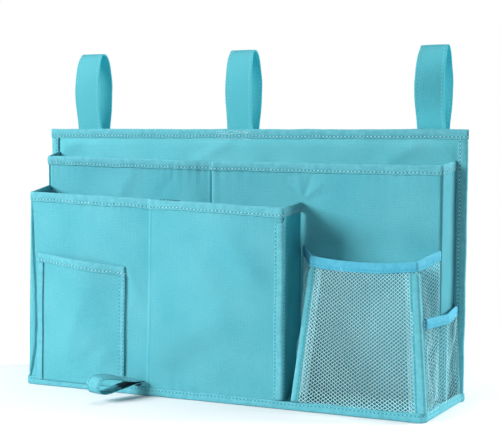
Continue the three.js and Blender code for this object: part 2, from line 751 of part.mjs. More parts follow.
const belowMouth = mouth.clone().addScaledVector(mouthWay, tailTop / 3);
const strapToMouth = curve(
  flat2(strapY + loopBelly, bellyZ), flat2(strapY + loopBelly, mix(bellyZ, backHeight, 1 / 3)),
  aboveMouth, mouth);
const strapToTail = curve(
  mouth, belowMouth, flat2(tailY, mix(tailStart, backHeight, 1 / 3)), flat2(tailY, tailStart));
const rearStrand = [
  ...strapBelly, ...strapToMouth.slice(1), ...strapToTail.slice(1), flat2(tailY, tailEnd),
];
for (const [side, centre] of Object.entries(strapCentres)) {
  const left = centre - strapWidth / 2;
  const right = centre + strapWidth / 2;
  block(`${side}_strap_sewn_end`,
    point(left, strapY - strapThickness / 2, strapFoot - fit - sewnEndLength),
    point(right, strapY + strapThickness / 2, strapFoot - fit), clothMaterial());
  addPart(`${side}_strap_front`, ribbon(frontStrand, strapWidth, strapThickness, centre),
    clothMaterial());
  addPart(`${side}_strap_rear`, ribbon(rearStrand, strapWidth, strapThickness, centre),
    clothMaterial());
  const patchLeft = left + patchEdgeMargin;
  const patchRight = right - patchEdgeMargin;
  block(`${side}_hook_patch`,
    point(patchLeft, hookPatchY, tailEnd + patchEdgeMargin),
    point(patchRight, hookPatchY + patchThickness, tailEnd + patchEdgeMargin + hookPatchLength),
    hookMaterial());
  const loopPatchEnd = tailEnd + patchEdgeMargin - (loopPatchLength - hookPatchLength);
  block(`${side}_loop_patch`, point(left, loopPatchY, loopPatchEnd),
    point(right, loopPatchY + patchThickness, loopPatchEnd + loopPatchLength), hookMaterial());
}

// Key loop: a folded length of tape sewn in the front foot seam, reaching out to the left
const keyRootY = frontWallY - tapeOuter - fit;
const keyRootZ = aboveFoot + fit + keyTape / 2;
const keyUpperRootZ = keyRootZ + keyTape + fit;
const keyTurnRadius = keyLoopEyeHeight / 2;
const keyTurnY = keyRootY - keyLoopReach + keyTurnRadius;
const keyLower = curve(
  flat2(keyRootY, keyRootZ), flat2(mix(keyRootY, keyTurnY, 1 / 3), keyRootZ),
  flat2(mix(keyRootY, keyTurnY, 2 / 3), keyRootZ), flat2(keyTurnY, keyRootZ));
const keyTurnPoints = [];
for (let i = 1; i < curveSteps; i += 1) {
  const angle = (Math.PI * i) / curveSteps;
  keyTurnPoints.push(flat2(
    keyTurnY - keyTurnRadius * Math.sin(angle),
    keyRootZ + keyTurnRadius * (1 - Math.cos(angle)),
  ));
}
const keyTop = keyRootZ + keyLoopEyeHeight;
const keyUpper = curve(
  flat2(keyTurnY, keyTop), flat2(mix(keyRootY, keyTurnY, 2 / 3), keyTop),
  flat2(mix(keyRootY, keyTurnY, 1 / 3), keyUpperRootZ), flat2(keyRootY, keyUpperRootZ));
const keyLoop = ribbon([...keyLower, ...keyTurnPoints, ...keyUpper], keyLoopWidth, keyTape, 0);
const keyPlaces = keyLoop.getAttribute('position');
for (let i = 0; i < keyPlaces.count; i += 1) {
  const across = keyPlaces.getX(i);
  const reach = keyRootY - keyPlaces.getY(i);
  const turn = keyLoopTurn * Math.min(1, Math.max(0, reach / keyLoopReach));
  const drift = reach * Math.tan(keyLoopTurn);
  keyPlaces.setX(i, keyLoopX - drift + across * Math.cos(turn));
  keyPlaces.setY(i, keyRootY - reach - across * Math.sin(turn));
}
keyLoop.computeVertexNormals();
addPart('key_loop', keyLoop, tapeMaterial());

export default group;
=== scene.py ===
# %% [markdown]
# # A cloth bedside caddy, in Blender
# The real thing is sewn from turquoise oxford cloth round two stiff boards, one in the back and
# one in the base. Every raw edge is bound with folded tape, and that tape, with its pale line of
# stitches, is what the eye reads first. So the lesson builds the caddy as a tailor does: cloth
# panels, tapes folded over their edges, the nets, the straps and the key loop, and then every
# row of stitches in one pass.

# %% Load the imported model
import json
import math

import bmesh
import bpy
import numpy as np
from mathutils import Matrix, Vector
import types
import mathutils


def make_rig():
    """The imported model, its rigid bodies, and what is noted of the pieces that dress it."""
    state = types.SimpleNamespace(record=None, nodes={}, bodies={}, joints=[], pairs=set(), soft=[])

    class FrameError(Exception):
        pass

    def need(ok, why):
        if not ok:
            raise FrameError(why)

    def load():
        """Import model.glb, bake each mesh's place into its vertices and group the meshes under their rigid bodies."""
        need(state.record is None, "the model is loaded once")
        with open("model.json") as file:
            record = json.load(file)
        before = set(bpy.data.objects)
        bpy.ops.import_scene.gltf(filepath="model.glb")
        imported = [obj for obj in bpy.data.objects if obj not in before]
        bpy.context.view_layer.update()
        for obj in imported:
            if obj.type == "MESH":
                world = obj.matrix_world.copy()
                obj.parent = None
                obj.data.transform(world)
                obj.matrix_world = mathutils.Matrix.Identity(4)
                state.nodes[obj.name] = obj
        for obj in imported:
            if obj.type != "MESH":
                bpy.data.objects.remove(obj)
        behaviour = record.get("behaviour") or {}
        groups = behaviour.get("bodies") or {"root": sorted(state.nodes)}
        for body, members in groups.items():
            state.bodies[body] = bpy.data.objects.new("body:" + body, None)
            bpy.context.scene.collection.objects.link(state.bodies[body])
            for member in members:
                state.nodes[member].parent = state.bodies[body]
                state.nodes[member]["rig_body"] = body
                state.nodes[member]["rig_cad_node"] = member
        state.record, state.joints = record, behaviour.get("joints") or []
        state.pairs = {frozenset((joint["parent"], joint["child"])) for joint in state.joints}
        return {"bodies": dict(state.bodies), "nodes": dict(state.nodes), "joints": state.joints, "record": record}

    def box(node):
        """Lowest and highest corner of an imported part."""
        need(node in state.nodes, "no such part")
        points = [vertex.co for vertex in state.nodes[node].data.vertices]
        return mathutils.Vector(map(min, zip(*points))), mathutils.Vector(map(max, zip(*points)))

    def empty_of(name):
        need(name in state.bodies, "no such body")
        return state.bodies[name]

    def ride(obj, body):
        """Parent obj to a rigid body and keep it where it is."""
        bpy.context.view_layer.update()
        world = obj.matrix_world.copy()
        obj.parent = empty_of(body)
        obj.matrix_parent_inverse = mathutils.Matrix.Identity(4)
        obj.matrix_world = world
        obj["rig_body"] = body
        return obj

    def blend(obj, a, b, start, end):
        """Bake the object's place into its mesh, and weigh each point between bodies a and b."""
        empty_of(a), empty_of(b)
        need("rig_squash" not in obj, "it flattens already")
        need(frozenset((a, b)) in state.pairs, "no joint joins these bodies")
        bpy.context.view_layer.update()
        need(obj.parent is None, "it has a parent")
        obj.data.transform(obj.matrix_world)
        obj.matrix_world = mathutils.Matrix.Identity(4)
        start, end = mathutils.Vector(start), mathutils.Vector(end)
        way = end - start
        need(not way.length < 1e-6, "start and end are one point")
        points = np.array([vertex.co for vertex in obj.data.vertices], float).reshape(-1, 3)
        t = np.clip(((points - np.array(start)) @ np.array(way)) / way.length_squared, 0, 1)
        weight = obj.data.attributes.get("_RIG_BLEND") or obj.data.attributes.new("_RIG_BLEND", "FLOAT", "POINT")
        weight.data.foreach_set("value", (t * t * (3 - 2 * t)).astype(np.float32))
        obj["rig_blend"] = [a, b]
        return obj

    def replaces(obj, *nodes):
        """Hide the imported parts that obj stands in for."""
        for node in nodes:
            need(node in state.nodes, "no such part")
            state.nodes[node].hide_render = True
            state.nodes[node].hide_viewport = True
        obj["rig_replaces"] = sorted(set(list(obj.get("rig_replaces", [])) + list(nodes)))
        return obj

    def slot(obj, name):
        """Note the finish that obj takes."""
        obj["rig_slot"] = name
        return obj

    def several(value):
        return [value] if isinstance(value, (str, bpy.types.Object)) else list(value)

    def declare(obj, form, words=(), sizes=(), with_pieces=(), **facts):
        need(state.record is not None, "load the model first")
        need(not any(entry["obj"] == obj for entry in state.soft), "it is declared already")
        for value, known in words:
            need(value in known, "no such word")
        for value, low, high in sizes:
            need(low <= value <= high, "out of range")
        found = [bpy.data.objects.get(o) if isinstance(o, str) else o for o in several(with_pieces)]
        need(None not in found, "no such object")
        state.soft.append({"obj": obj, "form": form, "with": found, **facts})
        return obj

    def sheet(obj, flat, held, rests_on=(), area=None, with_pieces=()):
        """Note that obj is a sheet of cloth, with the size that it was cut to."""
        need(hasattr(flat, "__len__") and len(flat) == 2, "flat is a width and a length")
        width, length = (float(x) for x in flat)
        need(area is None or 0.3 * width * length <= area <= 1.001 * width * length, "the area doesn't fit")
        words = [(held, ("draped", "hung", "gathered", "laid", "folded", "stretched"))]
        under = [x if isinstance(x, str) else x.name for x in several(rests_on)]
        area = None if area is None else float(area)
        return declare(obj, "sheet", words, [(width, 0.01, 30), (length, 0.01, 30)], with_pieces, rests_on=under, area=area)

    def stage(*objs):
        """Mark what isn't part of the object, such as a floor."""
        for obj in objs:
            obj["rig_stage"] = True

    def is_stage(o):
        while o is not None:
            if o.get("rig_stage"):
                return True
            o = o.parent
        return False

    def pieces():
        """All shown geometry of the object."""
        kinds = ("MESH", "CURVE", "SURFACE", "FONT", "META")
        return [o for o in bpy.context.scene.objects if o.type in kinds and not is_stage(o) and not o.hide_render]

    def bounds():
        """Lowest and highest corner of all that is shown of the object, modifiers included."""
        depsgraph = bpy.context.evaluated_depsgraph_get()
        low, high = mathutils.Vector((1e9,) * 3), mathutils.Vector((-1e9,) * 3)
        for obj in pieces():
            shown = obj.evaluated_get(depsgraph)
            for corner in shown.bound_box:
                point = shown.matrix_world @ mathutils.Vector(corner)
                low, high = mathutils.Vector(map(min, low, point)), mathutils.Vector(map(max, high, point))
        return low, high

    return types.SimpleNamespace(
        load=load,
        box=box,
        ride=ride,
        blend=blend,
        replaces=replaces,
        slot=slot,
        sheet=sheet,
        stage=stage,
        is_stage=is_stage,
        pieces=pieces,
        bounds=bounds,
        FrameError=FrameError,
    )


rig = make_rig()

for thing in list(bpy.data.objects):
    bpy.data.objects.remove(thing)
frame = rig.load()
cad_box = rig.bounds()


def into_scene(name, data):
    """A new object that holds the data, linked to the scene."""
    thing = bpy.data.objects.new(name, data)
    bpy.context.scene.collection.objects.link(thing)
    return thing


print("nodes", len(frame["nodes"]), "bodies", len(frame["bodies"]))

# %% [markdown]
# ## The camera
# The photograph was taken from a little right of the middle and a little above the caddy, with
# a long lens. Twenty edges and corners of the caddy gave the lens and the place.

# %% Camera
lens = bpy.data.cameras.new("photo_camera")
lens.lens, lens.sensor_width, lens.clip_end = 73.51, 36.0, 30.0
camera = into_scene("photo_camera", lens)
camera.location = (0.413, -1.034, 0.292)
camera.rotation_euler = (math.radians(90 - 5.41), 0.0, math.radians(20.61))
bpy.context.scene.camera = camera
print("lens", lens.lens, "mm")

# %% [markdown]
# ## Sizes
# Lengths are written in millimetres, as on a tailor's pattern, and turned to metres once, when a
# mesh is made. A seam is the line that two panels share, from its foot to its top.

# %% Sizes of the panels, tapes and seams
MM = 0.001
CLOTH, LINING, TAPE, FIT, BOARD_THICK = 1.0, 0.8, 0.7, 0.3, 1.6
TAPE_LEG, FOOT_TAPE = 10.5, 9.0
BACK_W, BACK_H, DEPTH, FOOT_W, REAR_INSET = 500.0, 290.0, 101.0, 458.0, 1.5
TAPE_OUT = CLOTH / 2 + FIT + TAPE
CAP = FIT + TAPE
FRONT_Y = -DEPTH / 2 + TAPE_OUT
REAR_Y = DEPTH / 2 - TAPE - FIT
BACK_FRONT_Y = REAR_Y - LINING - FIT - BOARD_THICK - FIT - LINING
MID_Y = BACK_FRONT_Y - 27.0 + CLOTH / 2
FOOT_HALF = FOOT_W / 2 - TAPE_OUT
REAR_HALF = BACK_W / 2 - REAR_INSET - TAPE_OUT
FOOT_REAR_Y = BACK_FRONT_Y - CAP - FIT
FLOOR_Z, WALL_FOOT, ABOVE_FOOT = TAPE + FIT, 4.1, FOOT_TAPE + FIT
FRONT_TOP_Y, NET_TOP_Y = FRONT_Y + 3.0, FRONT_Y + 27.0
FRONT_RIGHT, CREASE_X, DIVIDER_X, MID_RIGHT = 77.5, -79.0, -28.5, 228.0
GUSSET_BACK = BACK_W / 2 - 11.5
INNER, TOP = BACK_W / 2 - CAP, BACK_H - CAP
STRAP_X = {"left": -200.5, "middle": -7.5, "right": 210.5}


def side_x(y):
    share = (y - FRONT_Y) / (FOOT_REAR_Y - FRONT_Y)
    return FOOT_HALF + (REAR_HALF - FOOT_HALF) * share


def seam(bottom, top):
    return np.array(bottom, float), np.array(top, float)


def upright(x, y, low, high):
    return seam((x, y, low), (x, y, high))


MID_LEFT_FOOT = (-side_x(MID_Y), MID_Y, FLOOR_Z)
SEAMS = {
    "front_left": seam((-FOOT_HALF, FRONT_Y, FLOOR_Z), (-222.0, FRONT_TOP_Y, 219.0)),
    "front_right": seam((FRONT_RIGHT, FRONT_Y, FLOOR_Z), (FRONT_RIGHT, FRONT_TOP_Y, 209.0)),
    "front_right_back": upright(76.5, MID_Y, WALL_FOOT, 210.0),
    "mid_left": seam(MID_LEFT_FOOT, (-238.0, MID_Y, 257.5)),
    "mid_left_low": seam(MID_LEFT_FOOT, (-238.0, MID_Y, 222.5)),
    "mid_left_back": seam((-REAR_HALF, FOOT_REAR_Y, FLOOR_Z), (-GUSSET_BACK, FOOT_REAR_Y, 262.0)),
    "mid_divider": upright(DIVIDER_X, MID_Y, WALL_FOOT, 253.5),
    "mid_right": upright(MID_RIGHT, MID_Y, WALL_FOOT, 252.0),
    "mid_right_back": upright(GUSSET_BACK, FOOT_REAR_Y, WALL_FOOT, 256.5),
    "net_left": seam((89.0, FRONT_Y, ABOVE_FOOT), (101.5, NET_TOP_Y, 157.5)),
    "net_right": seam((FOOT_HALF, FRONT_Y, ABOVE_FOOT), (211.5, NET_TOP_Y, 156.5)),
    "net_left_back": upright(79.5, MID_Y, WALL_FOOT, 164.0),
    "net_right_back": upright(MID_RIGHT, MID_Y, ABOVE_FOOT, 164.0),
}


def wall_between(first, second):
    return SEAMS[first], SEAMS[second]


print("front wall at y =", FRONT_Y, "middle wall at y =", round(MID_Y, 2), "mm")

# %% [markdown]
# ## Colours and finishes
# The cloth is polyester oxford: a plain weave of thick flat threads with a thin coating on its
# back, dyed turquoise. One layer lets some light through, deeper in colour than the cloth, which
# is why the single-layer sides glow beside the stiff back. A picture of cloth could be wrapped
# round each piece, but nodes need no file and keep the threads one size everywhere. Every colour
# is written as the hex value that a painter would pick, then turned linear once.

# %% Colour and node helpers
MATH, VECTOR = "ShaderNodeMath:", "ShaderNodeVectorMath:"


def linear(hex_colour):
    value = [int(hex_colour[i:i + 2], 16) / 255 for i in (1, 3, 5)]
    return tuple(c / 12.92 if c <= 0.04045 else ((c + 0.055) / 1.055) ** 2.4
                 for c in value) + (1.0,)


def adder(tree):
    """Gives the function that adds a node to this tree. The kind may end in an operation. The
    links are the inputs in their order, or one table of them by name or number. Each is a
    value, a socket, or a node, which stands for its first output."""
    def add(kind, *links, **settings):
        kind, _, operation = kind.partition(":")
        node = tree.nodes.new(kind)
        if operation:
            node.operation = operation
        for key, value in settings.items():
            setattr(node, key, value)
        table = links[0] if links and isinstance(links[0], dict) else dict(enumerate(links))
        for key, value in table.items():
            value = value.outputs[0] if isinstance(value, bpy.types.Node) else value
            if isinstance(value, bpy.types.NodeSocket):
                tree.links.new(value, node.inputs[key])
            else:
                node.inputs[key].default_value = value
        return node
    return add


def new_finish(name):
    finish = bpy.data.materials.new(name)
    finish.use_nodes = True
    finish.node_tree.nodes.clear()
    return finish, adder(finish.node_tree)


def surface_place(add):
    """Millimetres along and across the cloth, from the piece's own UV map in metres."""
    uv = add("ShaderNodeTexCoord").outputs["UV"]
    scaled = add("ShaderNodeMapping", {"Vector": uv, "Scale": (1000.0,) * 3})
    split = add("ShaderNodeSeparateXYZ", scaled)
    return scaled, split.outputs[0], split.outputs[1]


print("cloth colour, linear:", [round(c, 3) for c in linear("#6ACAD6")[:3]])

# %% The end of every finish
def end_finish(add, shade, stops, height, relief, strength, dark=None, rough=0.7,
               sheen_rough=0.4, gloss=0.1, glow=0.0, through=None):
    """Colours the shade by its stops and ends the tree in a matt fibre's shader. relief is the
    height of the pattern in millimetres, and dark is a share and the colour that it brings."""
    ramp = add("ShaderNodeValToRGB", shade)
    marks = ramp.color_ramp.elements
    marks[0].position, marks[1].position = stops[0][0], stops[-1][0]
    for place, _ in stops[1:-1]:
        marks.new(place)
    for mark, (_, hex_colour) in zip(marks, stops):
        mark.color = linear(hex_colour)
    colour = ramp.outputs[0]
    if dark:
        colour = add("ShaderNodeMix", {0: dark[0], 6: colour, 7: linear(dark[1])},
                     data_type="RGBA").outputs[2]
    bump = add("ShaderNodeBump", {"Height": height, "Distance": relief * MM,
                                  "Strength": strength})
    out = add("ShaderNodeBsdfPrincipled", {
        "Base Color": colour, "Roughness": rough, "Normal": bump, "Sheen Weight": 0.04,
        "Sheen Roughness": sheen_rough, "Specular IOR Level": gloss})
    if glow:
        behind = add("ShaderNodeBsdfTranslucent", {"Color": linear(through), "Normal": bump})
        out = add("ShaderNodeMixShader", glow, out, behind)
    add("ShaderNodeOutputMaterial", out)


print("every finish can be ended")

# %% [markdown]
# A plain weave is two sets of threads that pass over and under each other. Each thread's crown
# is a half wave across it, and a checkerboard says which set lies on top. The photo is too coarse
# to count threads in, so their spacing is a guess: they are finer in life, and are drawn 1.6 mm
# apart, as fine as the picture can show. Broad clouds and fine slubs keep the dye uneven, and an
# attribute of the piece deepens it where the cloth lies in shade.

# %% Woven cloth
THREAD_STEP, THROUGH, NET_SHADE = 1.6, "#12AEC4", "#073F4D"


def crowns(add, way, pitch):
    """Half waves a pitch apart, as round threads or ribs stand side by side."""
    return add(MATH + "ABSOLUTE", add(MATH + "SINE", add(MATH + "MULTIPLY", way, math.pi / pitch)))


def cloth_finish(name, colour, deep, pale, glow, through=THROUGH):
    finish, add = new_finish(name)
    place, along, across = surface_place(add)
    warp, weft = (crowns(add, way, THREAD_STEP) for way in (along, across))
    column, row = (add(MATH + "FLOOR", add(MATH + "DIVIDE", way, THREAD_STEP))
                   for way in (along, across))
    over = add(MATH + "PINGPONG", add(MATH + "ADD", column, row), 1.0)
    height = add("ShaderNodeMix", {0: over, 2: warp, 3: weft}, data_type="FLOAT")
    # A noise's scale is one over its size in millimetres: clouds are 60 mm wide, slubs 2 mm.
    clouds = add("ShaderNodeTexNoise",
                 {"Vector": place, "Scale": 0.016, "Detail": 4.0, "Roughness": 0.5})
    slubs = add("ShaderNodeTexNoise", {"Vector": place, "Scale": 0.55, "Detail": 2.0})
    shade = add(MATH + "MULTIPLY_ADD", height, 0.26,
                add(MATH + "MULTIPLY_ADD", clouds, 0.5, add(MATH + "MULTIPLY", slubs, 0.3)))
    in_shade = add("ShaderNodeAttribute", attribute_name="pocket_shade").outputs["Fac"]
    end_finish(add, shade, ((0.25, deep), (0.55, colour), (0.85, pale)), height,
               relief=0.22, strength=0.6, dark=(in_shade, NET_SHADE), glow=glow, through=through)
    return finish


CLOTH_COLOURS = ("#6ACAD6", "#54BAC9", "#82D9E2")
OXFORD = cloth_finish("woven_polyester_oxford", *CLOTH_COLOURS, 0.36)
OXFORD_THIN = cloth_finish("single_layer_oxford", *CLOTH_COLOURS, 0.4)
OXFORD_BACKED = cloth_finish("backed_polyester_oxford", *CLOTH_COLOURS, 0.26)
OXFORD_SIDE = cloth_finish("side_panel_oxford", "#41BCCB", "#2CA9BA", "#58CCDA", 0.26)
STRAP_CLOTH = cloth_finish("folded_oxford_strap", "#78D4DD", "#66C8D3", "#8ADFE6", 0.55,
                           "#12BEC9")
print("cloth finishes:", OXFORD.name, OXFORD_THIN.name, OXFORD_BACKED.name, OXFORD_SIDE.name,
      STRAP_CLOTH.name)

# %% [markdown]
# Seam tape is narrow ribbed tape: fine ribs run across it, a rib every millimetre or so. The
# elastic tape at the nets' rims is the same kind of ribbed tape, dyed a little bluer, and its
# ribs are closer because the elastic draws them together. The stitches pull the tape into a
# groove, dark with its own shadow and with the needle's holes. A tape's UV map runs along it, and
# across it from its nearest row of stitches, so the finish can draw that dark line at zero.

# %% Ribbed tape
TAPE_THREAD = 0.8  # a guess, as the photo doesn't show the tape's threads


def tape_finish(name, colour, deep, pale, rib, groove):
    finish, add = new_finish(name)
    place, along, across = surface_place(add)
    height = add(MATH + "MULTIPLY_ADD", crowns(add, across, TAPE_THREAD), 0.3,
                 add(MATH + "MULTIPLY", crowns(add, along, rib), 0.7))
    uneven = add("ShaderNodeTexNoise",
                 {"Vector": place, "Scale": 0.16, "Detail": 3.0, "Roughness": 0.6})
    shade = add(MATH + "MULTIPLY_ADD", height, 0.35, add(MATH + "MULTIPLY", uneven, 0.75))
    # The groove is darkest within half a millimetre of the stitches, and gone at one.
    near = add("ShaderNodeMapRange", add(MATH + "ABSOLUTE", across), 0.45, 1.0, 0.85, 0.0,
               interpolation_type="SMOOTHSTEP")
    end_finish(add, shade, ((0.2, deep), (0.5, colour), (0.85, pale)), height,
               relief=0.09, strength=0.7, dark=(near, groove))
    return finish


SEAM_TAPE = tape_finish("ribbed_polyester_seam_tape", "#54A2AF", "#44919F", "#69B6C2", 1.1,
                        "#2E8796")
ELASTIC = tape_finish("knitted_elastic_tape", "#48A0BA", "#3A90AD", "#5DB3C9", 0.8, "#3C98B4")
print("tape finishes:", SEAM_TAPE.name, ELASTIC.name)

# %% [markdown]
# The rest are small: the rim tapes are sewn with a pale thread that shows, and the other seams
# with a thread near the cloth's colour. Thread and net yarn are spun polyester, and matt. The
# hook-and-loop patches are a dull pile; the boards are grey-white plastic sheet.

# %% Thread, yarn, pile and board
def plain_fibre(name, colour, pale, grain=0.8, rough=0.6, relief=0.05):
    """grain is the size in millimetres of what the surface shows."""
    finish, add = new_finish(name)
    noise = add("ShaderNodeTexNoise", {"Vector": add("ShaderNodeTexCoord").outputs["Object"],
                                       "Scale": 1.0 / (grain * MM), "Detail": 3.0})
    end_finish(add, noise, ((0.3, colour), (0.7, pale)), noise, relief, strength=0.8,
               rough=rough, sheen_rough=0.5, gloss=0.15)
    return finish


THREAD = plain_fibre("spun_polyester_thread", "#AEE1E9", "#CDEFF4")
SOFT_THREAD = plain_fibre("dyed_polyester_thread", "#84D0DC", "#9FDDE6")
MATCHED_THREAD = plain_fibre("tape_coloured_thread", "#4FA6B8", "#64B8C8")
YARN = plain_fibre("knitted_net_yarn", "#9CECFA", "#C6FBFF", grain=1.2)
DARK_FACING = plain_fibre("dark_facing_tape", "#0B2A33", "#12404C", rough=0.8)
PILE = plain_fibre("looped_pile_tape", "#3C9FAE", "#57BDCB", 0.9, 0.95, 0.5)
BOARD = plain_fibre("moulded_polypropylene_board", "#D2CEC4", "#DAD7CE", 6.0, 0.5, 0.02)
print("fibres:", THREAD.name, YARN.name, PILE.name, BOARD.name)

# %% [markdown]
# ## From pattern to panel
# A sewn panel hangs between two seams, so each wall is a ruled surface: a point a share u of the
# way across and a share v of the way up. Cloth never lies quite flat. It ripples in broad soft
# waves, and it puckers in short ones just under a tape, where the stitches draw it in. A cloth
# simulation would choose its own folds. Here each fold of the photograph is put in its place.

# %% Walls as surfaces
def unit(vectors):
    return vectors / np.linalg.norm(vectors, axis=-1, keepdims=True)


def wall_point(wall, u, v):
    """A point of the wall, and the way that the wall faces there."""
    (a, b), (c, d) = wall
    left, right = (foot + (top - foot) * v[..., None] for foot, top in wall)
    upward = (b - a) + ((d - c) - (b - a)) * u[..., None]
    return left + (right - left) * u[..., None], unit(np.cross(right - left, upward))


def wall_size(wall):
    (a, b), (c, d) = wall
    width = (np.linalg.norm(c - a) + np.linalg.norm(d - b)) / 2
    return width, (np.linalg.norm(b - a) + np.linalg.norm(d - c)) / 2


def arch(s, width):
    """Nothing at the two ends of a width, and one halfway between them."""
    return np.sin(math.pi * np.clip(s / width, 0, 1))


def ripples(s, t, seed, size, depth):
    rng = np.random.default_rng(seed)
    total = np.zeros_like(s)
    bend = 9.0 * np.sin(t / 41.0 + seed) + 7.0 * np.sin(s / 53.0 + 2 * seed)
    for _ in range(8):
        angle, wave = rng.uniform(0, math.pi), size * rng.uniform(0.55, 1.7)
        phase, weight = rng.uniform(0, 2 * math.pi), rng.uniform(0.4, 1.0)
        way = (s + bend) * math.cos(angle) + (t + bend) * math.sin(angle)
        total += weight * np.sin(way * 2 * math.pi / wave + phase)
    return depth * total / 3.0


def puckers(s, below, seed, pitch, depth, fade):
    """Short waves a pitch apart, which fade over that many millimetres below the seam."""
    rng = np.random.default_rng(seed)
    warp = 4.0 * np.sin(s / 23.0 + rng.uniform(0, 6)) + 2.5 * np.sin(s / 9.7 + rng.uniform(0, 6))
    patchy = 0.55 + 0.45 * np.sin(s / 31.0 + rng.uniform(0, 6))
    near = np.exp(-np.maximum(below, 0) / fade) * np.clip(1 + below / 3, 0, 1)
    return depth * patchy * near * np.sin((s + warp) * 2 * math.pi / pitch)


def folds(s, t, *lines, fade=0.35):
    """Soft ridges, or grooves where the depth is negative. A line has two ends, a width and a
    depth, and rises over a share of its length at each end."""
    total = np.zeros_like(s)
    for start, end, width, depth in lines:
        dx, dy = end[0] - start[0], end[1] - start[1]
        length = np.linalg.norm((dx, dy))
        share = ((s - start[0]) * dx + (t - start[1]) * dy) / length ** 2
        aside = ((s - start[0]) * dy - (t - start[1]) * dx) / length
        ends = np.clip(share / fade, 0, 1) * np.clip((1 - share) / fade, 0, 1)
        total += depth * np.exp(-((aside / width) ** 2)) * ends * ends * (3 - 2 * ends)
    return total


print("a ripple:", np.round(ripples(np.arange(0, 90, 30.0), np.zeros(3), 4, 70, 0.6), 2), "mm")

# %% [markdown]
# A mesh needs faces that point outwards, a closed edge and a UV map in real lengths, so that the
# weave has one size everywhere. Two helpers do that for every soft piece: one closes a pair of
# grids into a slab, and one sweeps an outline along a row of frames.

# %% Meshes from grids and sweeps
def run_along(points):
    """How far each point of a line lies from its start, along the line."""
    steps = np.linalg.norm(np.diff(points, axis=0), axis=1)
    return np.concatenate([[0], np.cumsum(steps)])


def make_piece(name, points, faces, corner_uv, finish):
    corners = np.array([(face[0], face[k], face[k + 1])
                        for face in faces for k in range(1, len(face) - 1)])
    a, b, c = (points[corners[:, i]] for i in range(3))
    if (a * np.cross(b, c)).sum() < 0:  # the volume is negative where the faces point inwards
        faces, corner_uv = ([ring[::-1] for ring in rings] for rings in (faces, corner_uv))
    mesh = bpy.data.meshes.new(name)
    mesh.from_pydata([tuple(p) for p in points * MM], [], [tuple(face) for face in faces])
    flat = np.array([place for ring in corner_uv for place in ring], float) * MM
    mesh.uv_layers.new(name="Cloth").data.foreach_set("uv", flat.ravel())
    mesh.polygons.foreach_set("use_smooth", [True] * len(faces))
    mesh.materials.append(finish)
    mesh.update()
    return into_scene(name, mesh)


def slab(name, back, front, place, finish):
    """Closes two grids of points of the same size; place holds each point's flat position."""
    rows, columns = back.shape[:2]
    points = np.concatenate([back.reshape(-1, 3), front.reshape(-1, 3)])
    flat = place.reshape(-1, 2)
    layer = rows * columns
    at = np.arange(layer).reshape(rows, columns)
    quads = np.stack([at[:-1, :-1], at[:-1, 1:], at[1:, 1:], at[1:, :-1]], -1).reshape(-1, 4)
    faces = (quads + layer).tolist() + quads[:, ::-1].tolist()
    rim = np.concatenate([at[0, :-1], at[:-1, -1], at[-1, :0:-1], at[:0:-1, 0]]).tolist()
    faces += [[p, q, q + layer, p + layer] for p, q in zip(rim, rim[1:] + rim[:1])]
    corner_uv = [[flat[i % layer] for i in face] for face in faces]
    return make_piece(name, points, faces, corner_uv, finish)


def sweep(name, frames, outlines, finish, rows=()):
    """Sweeps an outline of (away, drop) points along frames of origin, out and down. Where the
    outline's points at the stitch rows are given, the map runs across from the nearest row."""
    origin, out, down = frames
    count, last = len(outlines[0]), len(origin) - 1
    points = (origin[:, None] + out[:, None] * outlines[..., :1]
              + down[:, None] * outlines[..., 1:])
    along = run_along(origin)
    across = run_along(np.vstack([outlines[0], outlines[0][:1]]))
    if rows:
        across = np.abs(across[:, None] - across[list(rows)]).min(1)
    faces, corner_uv = [], []
    for i in range(last):
        for k in range(count):
            near, far, n = i * count, (i + 1) * count, (k + 1) % count
            faces.append([near + k, near + n, far + n, far + k])
            corner_uv.append([(along[i], across[k]), (along[i], across[k + 1]),
                              (along[i + 1], across[k + 1]), (along[i + 1], across[k])])
    faces += [list(range(count))[::-1], [last * count + k for k in range(count)]]
    corner_uv += [list(outlines[0][::-1]), list(outlines[-1])]
    return make_piece(name, points.reshape(-1, 3), faces, corner_uv, finish)


# Rows of stitches are lines of points in millimetres, kept for one pass at the end.
CADDY_LINES, SOFT_LINES, MATCHED_LINES = [], [], []
print("helpers ready")

# %% [markdown]
# ## Cloth panels
# Each panel is a fine grid between its two seams, with a point every 2.4 to 4 mm, moved out of
# its plane by the folds that the photograph shows, and given the cloth's thickness.

# %% A panel between two seams
def spaced(low, high, step, lines=()):
    """Marks a step apart, and closer ones about each of the lines."""
    base = np.linspace(low, high, max(2, int(round((high - low) / step)) + 1))
    extra = [np.linspace(x - 5, x + 5, 15) for x in lines]
    both = np.unique(np.round(np.concatenate([base, *extra]), 3))
    both = both[(both >= low) & (both <= high)]
    keep = [both[0]]
    for x in both[1:-1]:
        if x - keep[-1] > 0.45:
            keep.append(x)
    return np.array([*keep, both[-1]])


def cloth_point(wall, s, t, shape=None, sag=0.0, away=0.0):
    """Where the cloth lies, s millimetres across its wall and t up, and which way it faces."""
    width, height = wall_size(wall)
    u, v = s / width, t / height
    v = v * (1 - 4 * u * (1 - u) * sag / height)
    point, out = wall_point(wall, u, v)
    offset = away + (shape(s, t) if shape else 0.0 * s)
    return point + out * offset[..., None], out


def panel(name, wall, finish, shape=None, cut=(0, 0, 0, 0), thick=CLOTH, step=3.0, lines=(),
          place=None):
    """cut trims the first seam, the second, the foot and the top, in millimetres. place maps
    the cloth, and is the flat cloth itself if nothing else is given."""
    width, height = wall_size(wall)
    s, t = np.meshgrid(spaced(cut[0], width - cut[1], step, lines),
                       spaced(cut[2], height - cut[3], step))
    back, front = (cloth_point(wall, s, t, shape, 0.0, side * thick / 2)[0] for side in (-1, 1))
    return slab(name, back, front, place(s, t) if place else np.stack([s, t], -1), finish)


